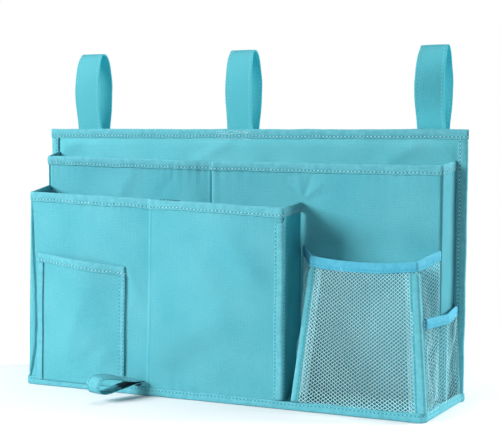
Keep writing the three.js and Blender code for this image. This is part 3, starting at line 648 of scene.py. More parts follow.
def dress(piece, body, *nodes, slot=None, flat=None, area=None):
    """Rides the piece on its body, and says which CAD solids it stands for, which slot its
    finish belongs to, and the size in millimetres that a sheet was cut to."""
    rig.ride(piece, body)
    if nodes:
        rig.replaces(piece, *nodes)
    if slot:
        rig.slot(piece, slot)
    if flat:
        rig.sheet(piece, flat=tuple(x * MM for x in flat), held="stretched",
                 area=area * MM * MM if area else None)
    return piece


def tone(piece, depth):
    """Marks how deep the cloth's tone is at each vertex; the cloth's finish reads it."""
    place = np.empty(len(piece.data.vertices) * 3)
    piece.data.vertices.foreach_get("co", place)
    layer = piece.data.attributes.new("pocket_shade", "FLOAT", "POINT")
    layer.data.foreach_set("value", depth(*(place.reshape(-1, 3).T / MM)))


def cloth(name, node, wall, finish, shape=None, cut=(0, 0, 0, 0), depth=None, **more):
    """A panel of the caddy's cloth, which stands for the CAD wall of that name."""
    piece = panel(name, wall, finish, shape, cut, **more)
    if depth:
        tone(piece, depth)
    return dress(piece, "caddy", node, slot="oxford_cloth", flat=wall_size(wall))


print("panels can be cut")

# %% [markdown]
# The front wall is one long cloth. The divider is sewn to it in a narrow pinch, and near its
# left end the spare cloth of the side has rolled round the corner, so a thin dark crease runs
# down beside a soft roll. Both are lines of the wall, so they are drawn as grooves in it.

# %% Front wall
FRONT = wall_between("front_left", "front_right")
FRONT_WIDTH, FRONT_HEIGHT = wall_size(FRONT)
PINCH_S = (CREASE_X + FOOT_HALF) / (FRONT_RIGHT + FOOT_HALF) * FRONT_WIDTH
ROLL_HEIGHTS = (0, 6, 20, 40, 74, 109, 154, 219)
ROLL_WIDTHS = (1.2, 2.0, 5.2, 8.6, 9.6, 8.6, 4.9, 1.2)


def front_pinch(s, t):
    """The divider's seam: the wall leans in towards it, and a valley runs down its left."""
    pinch = PINCH_S / FRONT_WIDTH
    half = np.minimum(1.0, 2 * t / FRONT_HEIGHT)
    lean = np.maximum(0, 1 - np.abs(s / FRONT_WIDTH - pinch) / (pinch / 2))
    upper = np.clip((t - 30) / 110, 0.35, 1)
    before = np.exp(-np.maximum(PINCH_S - s, 0) / (9.0 + 15.0 * upper))
    valley = -2.6 * upper * np.where(s < PINCH_S, before, np.clip(1 - (s - PINCH_S) / 2.2, 0, 1))
    lip = 0.5 * np.exp(-((s - PINCH_S - 2.6) / 1.3) ** 2)
    return -2.0 * lean * np.sin(math.pi / 2 * half) ** 2 + (valley + lip)


def front_roll(s, t):
    """The rolled cloth at the left end, with its crease, and the turn at the very edge."""
    roll = np.interp(t, ROLL_HEIGHTS, ROLL_WIDTHS)
    crease = -1.7 * np.exp(-((s - roll) / 0.8) ** 2) * np.clip(roll / 4, 0.3, 1)
    bulge = np.where(s < roll, 1.5 * arch(s, roll) ** 0.7, 0.0)
    return crease + bulge - 2.2 * (1 - np.clip(s / 2.6, 0, 1)) ** 2


def front_shape(s, t):
    calm = arch(t, FRONT_HEIGHT) ** 0.6
    right = np.clip((s - PINCH_S) / (FRONT_WIDTH - PINCH_S), 0, 1)
    belly = 2.2 * np.sin(math.pi * right ** 0.8) + 1.2 * arch(s, PINCH_S)
    soft = ripples(s, t, 11, 85, 0.9) + ripples(s, t, 5, 34, 0.22)
    sewn = puckers(s, FRONT_HEIGHT - 9 - t, 3, 12, 0.28, 10) + puckers(s, t - 9, 8, 14, 0.3, 12)
    slack = folds(s, t, ((172, 56), (262, 112), 16, 1.7), ((160, 14), (250, 72), 15, -1.9),
                  ((228, 190), (286, 120), 12, 1.9), ((196, 196), (250, 118), 12, -1.2),
                  ((118, 150), (140, 96), 6, 1.0), ((40, 30), (98, 64), 9, 0.8))
    return front_pinch(s, t) + front_roll(s, t) + (belly + soft) * calm + sewn + slack


def front_depth(x, y, z):
    """The wall leans in at its lower middle, and turns from the light at its right end."""
    hollow = 0.14 * np.exp(-((x + 25) / 60) ** 2 - ((z - 45) / 50) ** 2)
    return (hollow + 0.07 * np.clip(x / 50, 0, 1)) * (x > CREASE_X)


front_wall = cloth("front_pocket_cloth", "front_wall", FRONT, OXFORD, front_shape,
                   depth=front_depth, lines=(PINCH_S, 3, 8), step=2.6)
print("front wall", round(FRONT_WIDTH), "x", round(FRONT_HEIGHT), "mm,",
      len(front_wall.data.polygons), "faces")

# %% [markdown]
# The other panels are the same kind of cloth. The two gussets of the front pocket fold it out
# from the middle tier; the left one bellies outwards because nothing holds it open. The right
# one is drawn deeper in colour, because the light falls along it.

# %% Gussets and dividers of the front pocket
FRONT_LEFT_SIDE = wall_between("mid_left_low", "front_left")
FRONT_RIGHT_SIDE = wall_between("front_right", "front_right_back")
FRONT_DIVIDER = (seam((CREASE_X, FRONT_Y, WALL_FOOT), (CREASE_X, FRONT_TOP_Y, 215.0)),
                 upright(CREASE_X, MID_Y, WALL_FOOT, 215.0))
LEFT_SIZE, RIGHT_SIZE = wall_size(FRONT_LEFT_SIDE), wall_size(FRONT_RIGHT_SIDE)


def gusset_shape(s, t):
    across = arch(s, LEFT_SIZE[0])
    belly = 4.6 * across ** 2 * arch(t, LEFT_SIZE[1]) ** 2
    return belly + ripples(s, t, 21, 40, 0.35) * across


cloth("front_pocket_left_side", "front_left_gusset", FRONT_LEFT_SIDE, OXFORD, gusset_shape,
      (0.3, 1.3, 0, 0))
cloth("front_pocket_right_side", "front_right_gusset", FRONT_RIGHT_SIDE, OXFORD_SIDE,
      lambda s, t: -1.2 * arch(s, RIGHT_SIZE[0]) ** 2 + ripples(s, t, 31, 40, 0.3),
      (1.9, 1.1, 3.1, 0))
cloth("front_pocket_divider", "front_divider", FRONT_DIVIDER, OXFORD,
      lambda s, t: ripples(s, t, 41, 45, 0.4), (4.2, 1.2, 0, 10.8))
print("front pocket: two sides and a divider")

# %% [markdown]
# The middle tier stands close against the back. Its long panels pucker under their tape, and
# where the front pocket's corner is sewn to the right panel, creases fan out from the stitches.

# %% Middle tier
MID_LEFT, MID_RIGHT_WALL = (wall_between("mid_left", "mid_divider"),
                            wall_between("mid_divider", "mid_right"))
BEHIND_NET = 152.0
# The angle in radians and the depth in millimetres of each crease of the fan.
FAN = ((1.75, 0.9), (1.2, -0.9), (0.72, 0.8), (0.25, -0.6), (2.3, -0.7))


def between_seams(s, width):
    """Nothing at the two seams, and one from 14 mm on."""
    return np.clip(np.minimum(s, width - s) / 14, 0, 1)


def mid_left_shape(s, t):
    w, h = wall_size(MID_LEFT)
    tuck = -5.0 * np.exp(-((w - s) / 17.0) ** 2)
    soft = ripples(s, t, 51, 60, 0.7) * between_seams(s, w)
    slack = folds(s, t, ((88, 196), (116, 250), 8, 0.9), ((140, 204), (170, 244), 7, -0.7))
    return soft + tuck + slack + puckers(s, h - 9 - t, 53, 9.5, 0.5, 12)


def mid_right_shape(s, t):
    w, h = wall_size(MID_RIGHT_WALL)
    x, y = FRONT_RIGHT - DIVIDER_X, 209
    fan = folds(s, t, *[((x, y), (x + 34 * math.cos(a), y + 34 * math.sin(a)), 2.6, depth)
                        for a, depth in FAN], fade=0.22)
    dent = -1.4 * np.exp(-((s - x - 8) / 16) ** 2 - ((t - y + 18) / 34) ** 2)
    ridge = 1.0 * np.exp(-((s - 3) / 5.0) ** 2)
    soft = ripples(s, t, 61, 75, 0.5) * between_seams(s, w)
    return soft + fan + dent + ridge + puckers(s, h - 9 - t, 63, 12, 0.35, 10)


def net_depth(x, y, z):
    """The cloth behind the nets lies in the yarn's fine shade."""
    inside = np.clip((x - 80) / 7, 0, 1) * np.clip((BEHIND_NET - z) / 12, 0, 1) * (y < MID_Y + 2)
    inside *= np.clip((FOOT_HALF + 2 - x) / 4, 0, 1)
    deep = 0.55 + 0.25 * np.clip((110 - z) / 110, 0, 1) + 0.2 * np.clip((130 - x) / 40, 0, 1)
    beside = 0.45 * np.clip((98 - z) / 8, 0, 1) * (y >= MID_Y + 2) * (x > MID_RIGHT - 4)
    return inside * deep + beside


cloth("middle_left_cloth", "mid_left_wall", MID_LEFT, OXFORD, mid_left_shape,
      (2.1, 0.15, 3.1, 0), step=2.6)
cloth("middle_right_cloth", "mid_right_wall", MID_RIGHT_WALL, OXFORD, mid_right_shape,
      (0.15, 0, 0, 0), net_depth, step=2.6)
SIDE_WALLS = {
    "mid_left_gusset": wall_between("mid_left_back", "mid_left"),
    "mid_right_gusset": wall_between("mid_right", "mid_right_back"),
    "mid_divider": (upright(DIVIDER_X, MID_Y, WALL_FOOT, 254.5),
                    upright(DIVIDER_X, BACK_FRONT_Y, WALL_FOOT, 254.5))}
for node, cut, seed, depth in (("mid_left_gusset", (0.3, 0.15, 0, 0), 71, None),
                               ("mid_right_gusset", (0.6, 0.3, 0, 0), 73, net_depth),
                               ("mid_divider", (0.8, 0.3, 0, 10.8), 75, None)):
    width, _ = wall_size(SIDE_WALLS[node])
    cloth(node + "_cloth", node, SIDE_WALLS[node], OXFORD_THIN,
          lambda s, t: ripples(s, t, seed, 55, 0.3) * arch(s, width), cut, depth, step=2.5)
print("middle tier:", 2 + len(SIDE_WALLS), "cloths")

# %% [markdown]
# The back and the base are sandwiches: cloth, board, cloth. The board keeps them flat, so their
# cloths only breathe outwards, with faint drag lines where the straps pull at the top edge.

# %% Back and base cloths
def box_wall(x0, x1, y, z0, z1):
    """A wall that faces the front if x0 < x1, and the rear if not."""
    return upright(x0, y, z0, z1), upright(x1, y, z0, z1)


def back_front_shape(s, t):
    free = np.clip((np.minimum(np.minimum(s, 2 * INNER - s), TOP - t) - 8.5) / 7, 0, 1)
    soft = 1.3 + ripples(s, t, 81, 80, 0.8) + puckers(s, TOP - 9 - t, 83, 13, 0.25, 9)
    y = TOP - 8
    for x in (strap + INNER for strap in STRAP_X.values()):
        soft = soft + folds(s, t, ((x, y), (x - 62, y - 34), 7, 1.1),
                            ((x, y), (x + 40, y - 30), 6, 0.9), fade=0.3)
    return 0.1 + free * np.clip(soft, 0, 3.4)


cloth("back_front_cloth_panel", "back_front_cloth",
      box_wall(-INNER, INNER, BACK_FRONT_Y + LINING / 2, 0.0, TOP), OXFORD_BACKED,
      back_front_shape, step=3.2, thick=LINING)
cloth("back_rear_cloth_panel", "back_rear_cloth",
      box_wall(INNER, -INNER, REAR_Y - LINING / 2, 0.0, TOP), OXFORD_BACKED,
      lambda s, t: np.clip(0.2 + ripples(s, t, 91, 90, 0.3), 0, 0.6), step=3.2, thick=LINING)
BASE_FRONT, BASE_REAR = FRONT_Y + TAPE_OUT + FIT, BACK_FRONT_Y - FIT
BASE_HALVES = [side_x(y) - TAPE_OUT - FIT for y in (BASE_FRONT, BASE_REAR)]
for name, node, low, depth in (
        ("base_under_panel", "base_under_cloth", 0.0, None),
        ("base_upper_panel", "base_upper_cloth", LINING + FIT + BOARD_THICK + FIT, net_depth)):
    wall = [seam((side * BASE_HALVES[0], BASE_FRONT, low + LINING / 2),
                 (side * BASE_HALVES[1], BASE_REAR, low + LINING / 2)) for side in (-1, 1)]
    cloth(name, node, wall, OXFORD_BACKED, depth=depth, thick=LINING, step=4.0)
print("back and base covered")

# %% [markdown]
# The patch pocket is a second cloth sewn on the front wall at its sides and its foot. It has the
# front wall's own folds, set off by the two thicknesses, and it bows out where it holds nothing.

# %% Patch pocket
PATCH_LEFT, PATCH_WIDTH, PATCH_TOPS = 16.5, 104.0, (147.0, 139.0)
PATCH = [tuple(cloth_point(FRONT, np.full(2, s), np.array([0.0, top - CAP]))[0])
         for s, top in zip((PATCH_LEFT, PATCH_LEFT + PATCH_WIDTH), PATCH_TOPS)]
PATCH_SIZE = wall_size(PATCH)


def patch_shape(s, t):
    across, up = arch(s, PATCH_SIZE[0]), np.clip(t / PATCH_SIZE[1], 0, 1)
    bow = 5.4 * across ** 2 * np.sin(math.pi / 2 * up)
    soft = ripples(s, t, 101, 42, 0.35) * across
    slack = folds(s, t, ((26, 20), (60, 118), 9, 0.8), ((62, 12), (96, 60), 8, 0.7))
    return front_shape(s + PATCH_LEFT, t) + 1.15 + bow + soft + slack


patch = panel("patch_pocket_cloth", PATCH, OXFORD, patch_shape, (0, 0, 5, 0), LINING, 2.4)
dress(patch, "caddy", "patch_wall", slot="oxford_cloth")
print("patch", [round(x) for x in PATCH_SIZE], "mm")

# %% [markdown]
# ## Folded tapes
# A tape folds over an edge like a hairpin: two legs, one on each side of the cloth. It follows
# the cloth below it, turns the corners, and its legs are puffed but for the row of stitches,
# which pinches them flat. A bevelled curve would draw a tape too, but it can't lean with the
# cloth. Here frames say where the tape runs, the outline says what it looks like, and a little
# wander keeps the edges from being ruled lines.

# %% Frames along a rim
TAPE_STEP, TURN, MITRE = 2.2, 2.0, 1.12


def rim(wall, shape=None, sag=0):
    return wall, shape, sag


def rim_frames(rims, start, end, foot):
    """Frames along rims in a row, cut back at both ends. They turn softly where two walls meet."""
    rows = []
    for k, (wall, shape, sag) in enumerate(rims):
        width, height = wall_size(wall)
        low = TURN if k else start
        high = width - (TURN if k < len(rims) - 1 else end)
        s = np.linspace(low, high, max(2, int(round((high - low) / TAPE_STEP)) + 1))
        s = np.concatenate([[0.0], s]) if k else s
        edge, far = (0.0, TAPE_LEG) if foot else (height, height - TAPE_LEG)
        top, out = cloth_point(wall, s, np.full_like(s, edge), shape, sag)
        down = unit(cloth_point(wall, s, np.full_like(s, far), shape, sag)[0] - top)
        if k:
            _, last_out, last_down = (part[-1] for part in rows[-1])
            out[0], down[0] = unit(out[0] + last_out) * MITRE, (down[1] + last_down) / 2
        rows.append((top, out, down))
    return tuple(np.concatenate(parts) for parts in zip(*rows))


def wander(count, seed, size, soft=9):
    rng = np.random.default_rng(seed)
    raw = rng.normal(0, 1, count + 4 * soft)
    kernel = np.hanning(2 * soft + 1)
    smooth = np.convolve(raw, kernel / np.sqrt((kernel ** 2).sum()), "same")[2 * soft:-2 * soft]
    return size * np.clip(smooth, -2, 2)


print("a tape's edge wanders by", np.round(wander(6, 1, 0.3), 2), "mm")

# %% The outline of a folded tape
TAPE_FACE, PINCH, PUFF, LIFT = 0.72, 2.6, 0.35, 0.1
STITCH_POINTS = {1: 3, -1: 18}


def folded_outlines(count, half, leg, seed, ridge=0.0):
    """Hairpins of tape: each outer face runs up one leg, over the fold and down the other."""
    edge, rise = wander(count, seed, 0.28), wander(count, seed + 1, 0.16)
    swell = PUFF * (1 + wander(count, seed + 2, 0.35, 4))
    flat = half + TAPE_FACE
    rows = []
    for e, r, p in zip(edge, rise, swell):
        end = leg + e
        side = [(half + 0.25, end + 0.1), (flat + ridge, end), (flat + 0.2 + ridge, end - 0.8),
                (flat - 0.16 + 0.9 * ridge, end - PINCH),
                (flat + 0.6 * p + 0.8 * ridge, end - PINCH - 1.1),
                (flat + p + 0.55 * ridge, end * 0.45), (flat + p + 0.3 * ridge, end * 0.25),
                (flat + 0.5 * p, 1.0),
                (flat, -0.1 - r), (flat * 0.72, -0.75 - r), (flat * 0.3, -1.05 - r)]
        inner = [(half + 0.04, 0.2), (half + 0.04, end * 0.5)]
        other = [(-a, d) for a, d in [*inner, *side][::-1]]
        rows.append([*side, *other, *inner])
    return np.array(rows)


def folded_tape(name, node, rims, trims, seed, lines, finish=SEAM_TAPE, half=CLOTH / 2,
                foot=False, sides=(1, -1), ridge=0.0):
    leg = (FOOT_TAPE if foot else TAPE_LEG) - CAP
    frames = origin, out, down = rim_frames(rims, *trims, foot)
    outlines = folded_outlines(len(origin), half, leg, seed, ridge)
    piece = sweep(name, frames, outlines, finish, STITCH_POINTS.values())
    if foot:
        for vertex in piece.data.vertices:
            vertex.co.z = max(vertex.co.z, 0.0)
    for side in sides:
        away, drop = outlines[:, STITCH_POINTS[side]].T[..., None]
        lines.append((origin + out * (away + side * LIFT) + down * drop, out * side))
    return dress(piece, "caddy", node, slot="rim_tape" if finish is ELASTIC else "seam_tape",
                 flat=(2 * leg + 2, run_along(origin)[-1]))


print("an outline has", len(folded_outlines(1, 0.5, 9.5, 1)[0]), "points")

# %% [markdown]
# With those helpers a tape is one line: the walls whose rims it follows, how far it is cut back
# at its two ends, a seed for its wander, and the thread that sews it.

# %% Rim tapes of the cloth pockets
folded_tape("middle_left_tape", "mid_left_rim_tape",
            [rim(SIDE_WALLS["mid_left_gusset"]), rim(MID_LEFT, mid_left_shape)],
            (0.8, 0.15), 201, CADDY_LINES)
folded_tape("middle_right_tape", "mid_right_rim_tape",
            [rim(MID_RIGHT_WALL, mid_right_shape), rim(SIDE_WALLS["mid_right_gusset"])],
            (0.15, 0.8), 204, CADDY_LINES)
folded_tape("front_pocket_tape", "front_rim_tape",
            [rim(FRONT_LEFT_SIDE, gusset_shape), rim(FRONT, front_shape), rim(FRONT_RIGHT_SIDE)],
            (1.8, 1.1), 207, CADDY_LINES)
folded_tape("patch_pocket_tape", "patch_rim_tape", [rim(PATCH, patch_shape)], (-4.6, 0), 210,
            CADDY_LINES, half=LINING / 2, sides=(1,))
print("rows of stitches on the cloth pockets' rims:", len(CADDY_LINES))

# %% [markdown]
# The back is bound on three edges, and the foot of the outer walls is bound with one tape that
# runs round the base and turns in behind the side of the back.

# %% Bindings of the back and the base
MIDDLE_Y, HALF_BACK = (BACK_FRONT_Y + REAR_Y) / 2, (REAR_Y - BACK_FRONT_Y) / 2
BIND_LOW, BIND_HIGH = 0.6, 279.0
folded_tape("back_top_tape", "top_binding",
            [rim(box_wall(-BACK_W / 2, BACK_W / 2, MIDDLE_Y, 0.0, TOP))], (0, 0), 213,
            CADDY_LINES, half=HALF_BACK)
for node, x, seed, ridge, lines in (("back_left_binding", -INNER, 216, 1.8, SOFT_LINES),
                                    ("back_right_binding", INNER, 218, 0.5, CADDY_LINES)):
    # The rim is the wall's top, so this wall lies on its side, and its seams run outwards.
    low, high = (seam((0, MIDDLE_Y, z), (x, MIDDLE_Y, z)) for z in (BIND_LOW, BIND_HIGH))
    folded_tape(node.replace("binding", "tape"), node,
                [rim((high, low) if x < 0 else (low, high))], (0, 0), seed, lines,
                half=HALF_BACK, ridge=ridge)

FOOT_CORNER = 4.4
FOOT_PATH = [(-REAR_HALF, FOOT_REAR_Y), (-FOOT_HALF, FRONT_Y), (FOOT_HALF - FOOT_CORNER, FRONT_Y),
             (FOOT_HALF, FRONT_Y + FOOT_CORNER), (REAR_HALF, FOOT_REAR_Y),
             (REAR_HALF + 3.0, FOOT_REAR_Y + 4.5)]
foot_seams = [upright(x, y, FLOOR_Z, 100.0) for x, y in FOOT_PATH]
folded_tape("base_tape", "base_binding", [rim(wall) for wall in zip(foot_seams, foot_seams[1:])],
            (0, 0), 221, SOFT_LINES, foot=True)
print("rows of pale stitches:", len(CADDY_LINES), "and of soft ones:", len(SOFT_LINES))

# %% [markdown]
# Tapes at upright corners open into an L, with a leg on each of the two walls, so each is a slab
# whose columns of points lie on one wall and then on the other. The patch pocket's side tapes
# lie flat, and are panels of the patch's own surface, set off from it.

# %% Corner tapes
CORNER_LEGS, CORNER_STEP, CORNER_OUT, STITCH_IN = (9.0, 6.0), 2.4, 1.08, 1.8
# How far along its leg each point of the outline lies, and how far it is puffed out.
CORNER_OUTLINE = ((-1.0, -0.1), (-0.93, 0.0), (-0.8, -0.15), (-0.6, 0.2), (-0.4, 0.3),
                  (-0.2, 0.3), (0.0, 0.35), (0.25, 0.3), (0.5, 0.2), (0.7, -0.1), (0.93, 0.0),
                  (1.0, -0.1))
CORNER_STITCHES = 2, 9


def corner_tape(name, node, first, second, low, high, seed, lines):
    (wall_a, shape_a, sag_a), (wall_b, shape_b, sag_b) = first, second
    t = np.linspace(low, high, int((high - low) / CORNER_STEP) + 1)
    width = wall_size(wall_a)[0]
    edges = wander(len(t), seed, 0.25), wander(len(t), seed + 1, 0.25)
    corner, out_a = cloth_point(wall_a, np.full_like(t, width), t, None, sag_a)
    _, out_b = cloth_point(wall_b, np.zeros_like(t), t, None, sag_b)
    turned = unit(out_a + out_b) * CORNER_OUT
    back, front, place = [], [], []
    for way, puff in CORNER_OUTLINE:
        leg, edge = CORNER_LEGS[way > 0], edges[way > 0]
        if way < 0:
            point, out = cloth_point(wall_a, width + way * (leg + edge), t, shape_a, sag_a)
        elif way > 0:
            point, out = cloth_point(wall_b, way * (leg + edge), t, shape_b, sag_b)
        else:
            point, out = corner, turned
        back.append(point + out * (CLOTH / 2 + 0.05))
        front.append(point + out * (CLOTH / 2 + TAPE_FACE + puff))
        aside = min(CORNER_LEGS[0] + way * leg, CORNER_LEGS[1] - way * leg) - STITCH_IN
        place.append(np.stack([t, np.full_like(t, aside)], -1))
    piece = slab(name, *(np.array(x) for x in (back, front, place)), SEAM_TAPE)
    for column, out in zip(CORNER_STITCHES, (out_a, out_b)):
        lines.append((front[column] + out * LIFT, out))
    return dress(piece, "caddy", node, slot="seam_tape", flat=(sum(CORNER_LEGS), high - low))


corner_tape("front_pocket_corner_tape", "front_right_corner_tape", rim(FRONT, front_shape),
            rim(FRONT_RIGHT_SIDE), 8.6, 197.5, 231, SOFT_LINES)
print("a corner tape's outline has", len(CORNER_OUTLINE), "points")

# %% Side tapes of the patch pocket
def side_tape(name, node, start, width, proud, insets):
    """Lies on the patch from start, stands proud at its far edge, and is sewn at the insets."""
    def lifted(s, t):
        share = (s - start) / width
        rest = LINING / 2 + 0.45 + 0.12 * np.sin(share * math.pi)
        return patch_shape(s, t) + rest + proud * share

    def across(s, t):
        inset = insets[0] if insets else -3.0
        return np.stack([t, np.minimum(s - start, start + width - s) - inset], -1)
    piece = panel(name, PATCH, SEAM_TAPE, lifted, (start, PATCH_SIZE[0] - start - width, 6, 8),
                  TAPE, 1.0, place=across)
    for inset in insets:
        t = np.arange(7.0, PATCH_SIZE[1] - 9, TAPE_STEP)
        SOFT_LINES.append(cloth_point(PATCH, np.full_like(t, start + inset), t, lifted, 0,
                                      TAPE / 2 + LIFT))
    return dress(piece, "caddy", node, slot="seam_tape")


patch_tapes = [side_tape("patch_left_side_tape", "patch_left_tape", -4.6, 6.8, 0.45, ()),
               side_tape("patch_right_side_tape", "patch_right_tape", PATCH_SIZE[0] - 7.2, 8.0,
                         0.5, (1.6, 6.4))]
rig.sheet(patch, flat=tuple(x * MM for x in PATCH_SIZE), held="stretched",
         with_pieces=patch_tapes)
print("rows of soft stitches:", len(SOFT_LINES))

# %% [markdown]
# ## Nets, woven by Geometry Nodes
# A warp-knitted net is made of upright chains of loops. Each chain steps left and right, and its
# neighbour steps the other way, so the two touch at every other row and leave diamond gaps. A
# see-through material would be quicker, but yarn with real thickness catches the light. One
# node tree draws such chains on any ruled wall: the four corners, the pitch, the yarn, the sag
# of the rim and the bulge are its inputs.

# %% Tree helpers
def new_tree(name, kinds):
    """A geometry tree whose inputs are given as one line of names for each kind of socket."""
    tree = bpy.data.node_groups.new(name, "GeometryNodeTree")
    tree.is_modifier = True
    for kind, labels in kinds.items():
        for label in labels:
            tree.interface.new_socket(label, in_out="INPUT", socket_type="NodeSocket" + kind)
    tree.interface.new_socket("Geometry", in_out="OUTPUT", socket_type="NodeSocketGeometry")
    return tree, adder(tree), tree.nodes.new("NodeGroupInput").outputs


def end_tree(add, geometry, material):
    real = add("GeometryNodeRealizeInstances", geometry)
    smooth = add("GeometryNodeSetShadeSmooth", real)
    add("NodeGroupOutput", add("GeometryNodeSetMaterial", {0: smooth, "Material": material}))


def grow(name, tree, values, carrier=None):
    """Runs the tree on a carrier mesh and keeps what it grows as a plain mesh."""
    holder = into_scene(name + "_holder", carrier or bpy.data.meshes.new(name + "_carrier"))
    modifier = holder.modifiers.new("grow", "NODES")
    modifier.node_group = tree
    sockets = {item.name: item.identifier for item in tree.interface.items_tree
               if item.in_out == "INPUT"}
    for label, value in values.items():
        modifier[sockets[label]] = value
    graph = bpy.context.evaluated_depsgraph_get()
    mesh = bpy.data.meshes.new_from_object(holder.evaluated_get(graph))
    bpy.data.objects.remove(holder)
    mesh.name = name
    return into_scene(name, mesh)


print("a tree can be grown into a mesh")

# %% [markdown]
# The tree starts from a flat grid, drops the edges that run across it, and lays the rest on the
# wall as zigzag chains. A fine noise makes the yarn uneven, and a broad one gives the net folds.

# %% The net's node tree
def net_tree():
    tree, add, given = new_tree("knitted_net", {
        "Geometry": ("Geometry",), "Int": ("Chains", "Rows"), "Material": ("Material",),
        "Vector": ("Foot A", "Top A", "Foot B", "Top B", "Bulge", "Folds"),
        "Float": ("Reach", "Sag", "Yarn", "Wobble", "Seed")})
    grid = add("GeometryNodeMeshGrid", {"Size X": 1.0, "Size Y": 1.0,
                                        "Vertices X": given["Chains"], "Vertices Y": given["Rows"]})
    ends = add("GeometryNodeInputMeshEdgeVertices").outputs
    gap = add("ShaderNodeSeparateXYZ", add(VECTOR + "SUBTRACT", ends[2], ends[3]))
    crosswise = add(MATH + "GREATER_THAN", add(MATH + "ABSOLUTE", gap), 1e-4)
    chains = add("GeometryNodeDeleteGeometry", {"Geometry": grid, "Selection": crosswise},
                 domain="EDGE", mode="EDGE_FACE")
    place = add("ShaderNodeSeparateXYZ", add("GeometryNodeInputPosition")).outputs
    across, up = (add(MATH + "ADD", place[i], 0.5) for i in (0, 1))
    chain, row = (add(MATH + "ROUND", add(MATH + "MULTIPLY", share,
                                          add(MATH + "SUBTRACT", given[count], 1.0)))
                  for share, count in ((across, "Chains"), (up, "Rows")))
    turn = add(MATH + "PINGPONG", add(MATH + "ADD", chain, row), 1.0)
    step = add(MATH + "MULTIPLY", add(MATH + "SUBTRACT", turn, 0.5), given["Reach"])
    u = add(MATH + "MAXIMUM", add(MATH + "MINIMUM", add(MATH + "ADD", across, step), 1.0), 0.0)
    hump = add(MATH + "MULTIPLY", add(MATH + "MULTIPLY", u, add(MATH + "SUBTRACT", 1.0, u)), 4.0)
    v = add(MATH + "MULTIPLY", up, add(MATH + "SUBTRACT", 1.0,
                                       add(MATH + "MULTIPLY", hump, given["Sag"])))
    sides = [add("ShaderNodeMix", {0: v, 4: given["Foot " + side], 5: given["Top " + side]},
                 data_type="VECTOR").outputs[1] for side in "AB"]
    wall = add("ShaderNodeMix", {0: u, 4: sides[0], 5: sides[1]}, data_type="VECTOR").outputs[1]
    fine, broad = (add("ShaderNodeTexNoise", {"Vector": wall, "W": given["Seed"], "Scale": scale},
                       noise_dimensions="4D") for scale in (260.0, 24.0))
    swell = add(MATH + "MULTIPLY", hump, add(MATH + "SINE", add(MATH + "MULTIPLY", v, math.pi)))
    uneven = add(VECTOR + "SUBTRACT", fine.outputs["Color"], (0.5,) * 3)
    depth = add(MATH + "MULTIPLY", add(MATH + "SUBTRACT", broad, 0.5), hump)
    for way, amount in ((given["Folds"], depth), (given["Bulge"], swell),
                        (uneven, given["Wobble"])):
        wall = add(VECTOR + "ADD", wall, add(VECTOR + "SCALE", {0: way, "Scale": amount}))
    laid = add("GeometryNodeSetPosition", {"Geometry": chains, "Position": wall})
    ring = add("GeometryNodeCurvePrimitiveCircle", {"Resolution": 5, "Radius": given["Yarn"]})
    tube = add("GeometryNodeCurveToMesh",
               {0: add("GeometryNodeMeshToCurve", laid), 1: ring, "Fill Caps": True})
    end_tree(add, tube, given["Material"])
    return tree


NET_TREE = net_tree()
print("net tree:", len(NET_TREE.nodes), "nodes")

# %% [markdown]
# A diamond of the front net is 4.6 mm wide and 3.9 mm high. The side nets are pulled wider, so
# their diamonds are longer, and their yarn is finer. Beside its corner tapes the front net is
# folded double, which shows as two paler strips. The rims are elastic, so the front one sags.

# %% Walls and sizes of the nets
NET_ROW, NET_SAG, NET_REACH, NET_WOBBLE, NET_FOLD, HEM_OUT = 3.88, 4.0, 0.8, 1.3, 14.0, 0.9
FRONT_KNIT, SIDE_KNIT, HEM_KNIT = (4.63, 0.82), (9.2, 0.5), (3.7, 0.42)  # pitch and yarn
NET_LEFT, NET_FRONT, NET_RIGHT = (
    wall_between(*pair) for pair in (("net_left_back", "net_left"), ("net_left", "net_right"),
                                     ("net_right", "net_right_back")))
FRONT_NET_W, FRONT_NET_H = wall_size(NET_FRONT)
HEMS = (6.5, FRONT_NET_W - 13.5, 0.0, 12.0), (FRONT_NET_W - 14.0, 8.0, 0.0, 12.0)
SIDE_NET_H, FOLD_AT, FOLD_OUT = 99.0, 0.56, 7.0
over_corner = np.array([TAPE_OUT + FIT, 0, 0])
foot, top = SEAMS["net_right"]
side_top = foot + (top - foot) * (SIDE_NET_H - foot[2]) / (top[2] - foot[2])
SIDE_FRONT_SEAM = foot + over_corner, side_top + over_corner
SIDE_BACK_SEAM = seam((REAR_HALF, FOOT_REAR_Y, ABOVE_FOOT), (241.5, FOOT_REAR_Y, 103.5))
side_way = SIDE_BACK_SEAM[1] - SIDE_FRONT_SEAM[1]
side_out = np.cross(side_way, (0, 0, 1)) / np.linalg.norm(side_way[:2])
fold_foot = SIDE_FRONT_SEAM[0] + FOLD_AT * (SIDE_BACK_SEAM[0] - SIDE_FRONT_SEAM[0])
fold_top = SIDE_FRONT_SEAM[1] + FOLD_AT * side_way + FOLD_OUT * side_out
FOLD_SEAM = seam(fold_foot, (*fold_top[:2], 100.0))
SIDE_FRONT, SIDE_BACK = (SIDE_FRONT_SEAM, FOLD_SEAM), (FOLD_SEAM, SIDE_BACK_SEAM)
print("front net", round(FRONT_NET_W), "x", round(FRONT_NET_H), "mm")

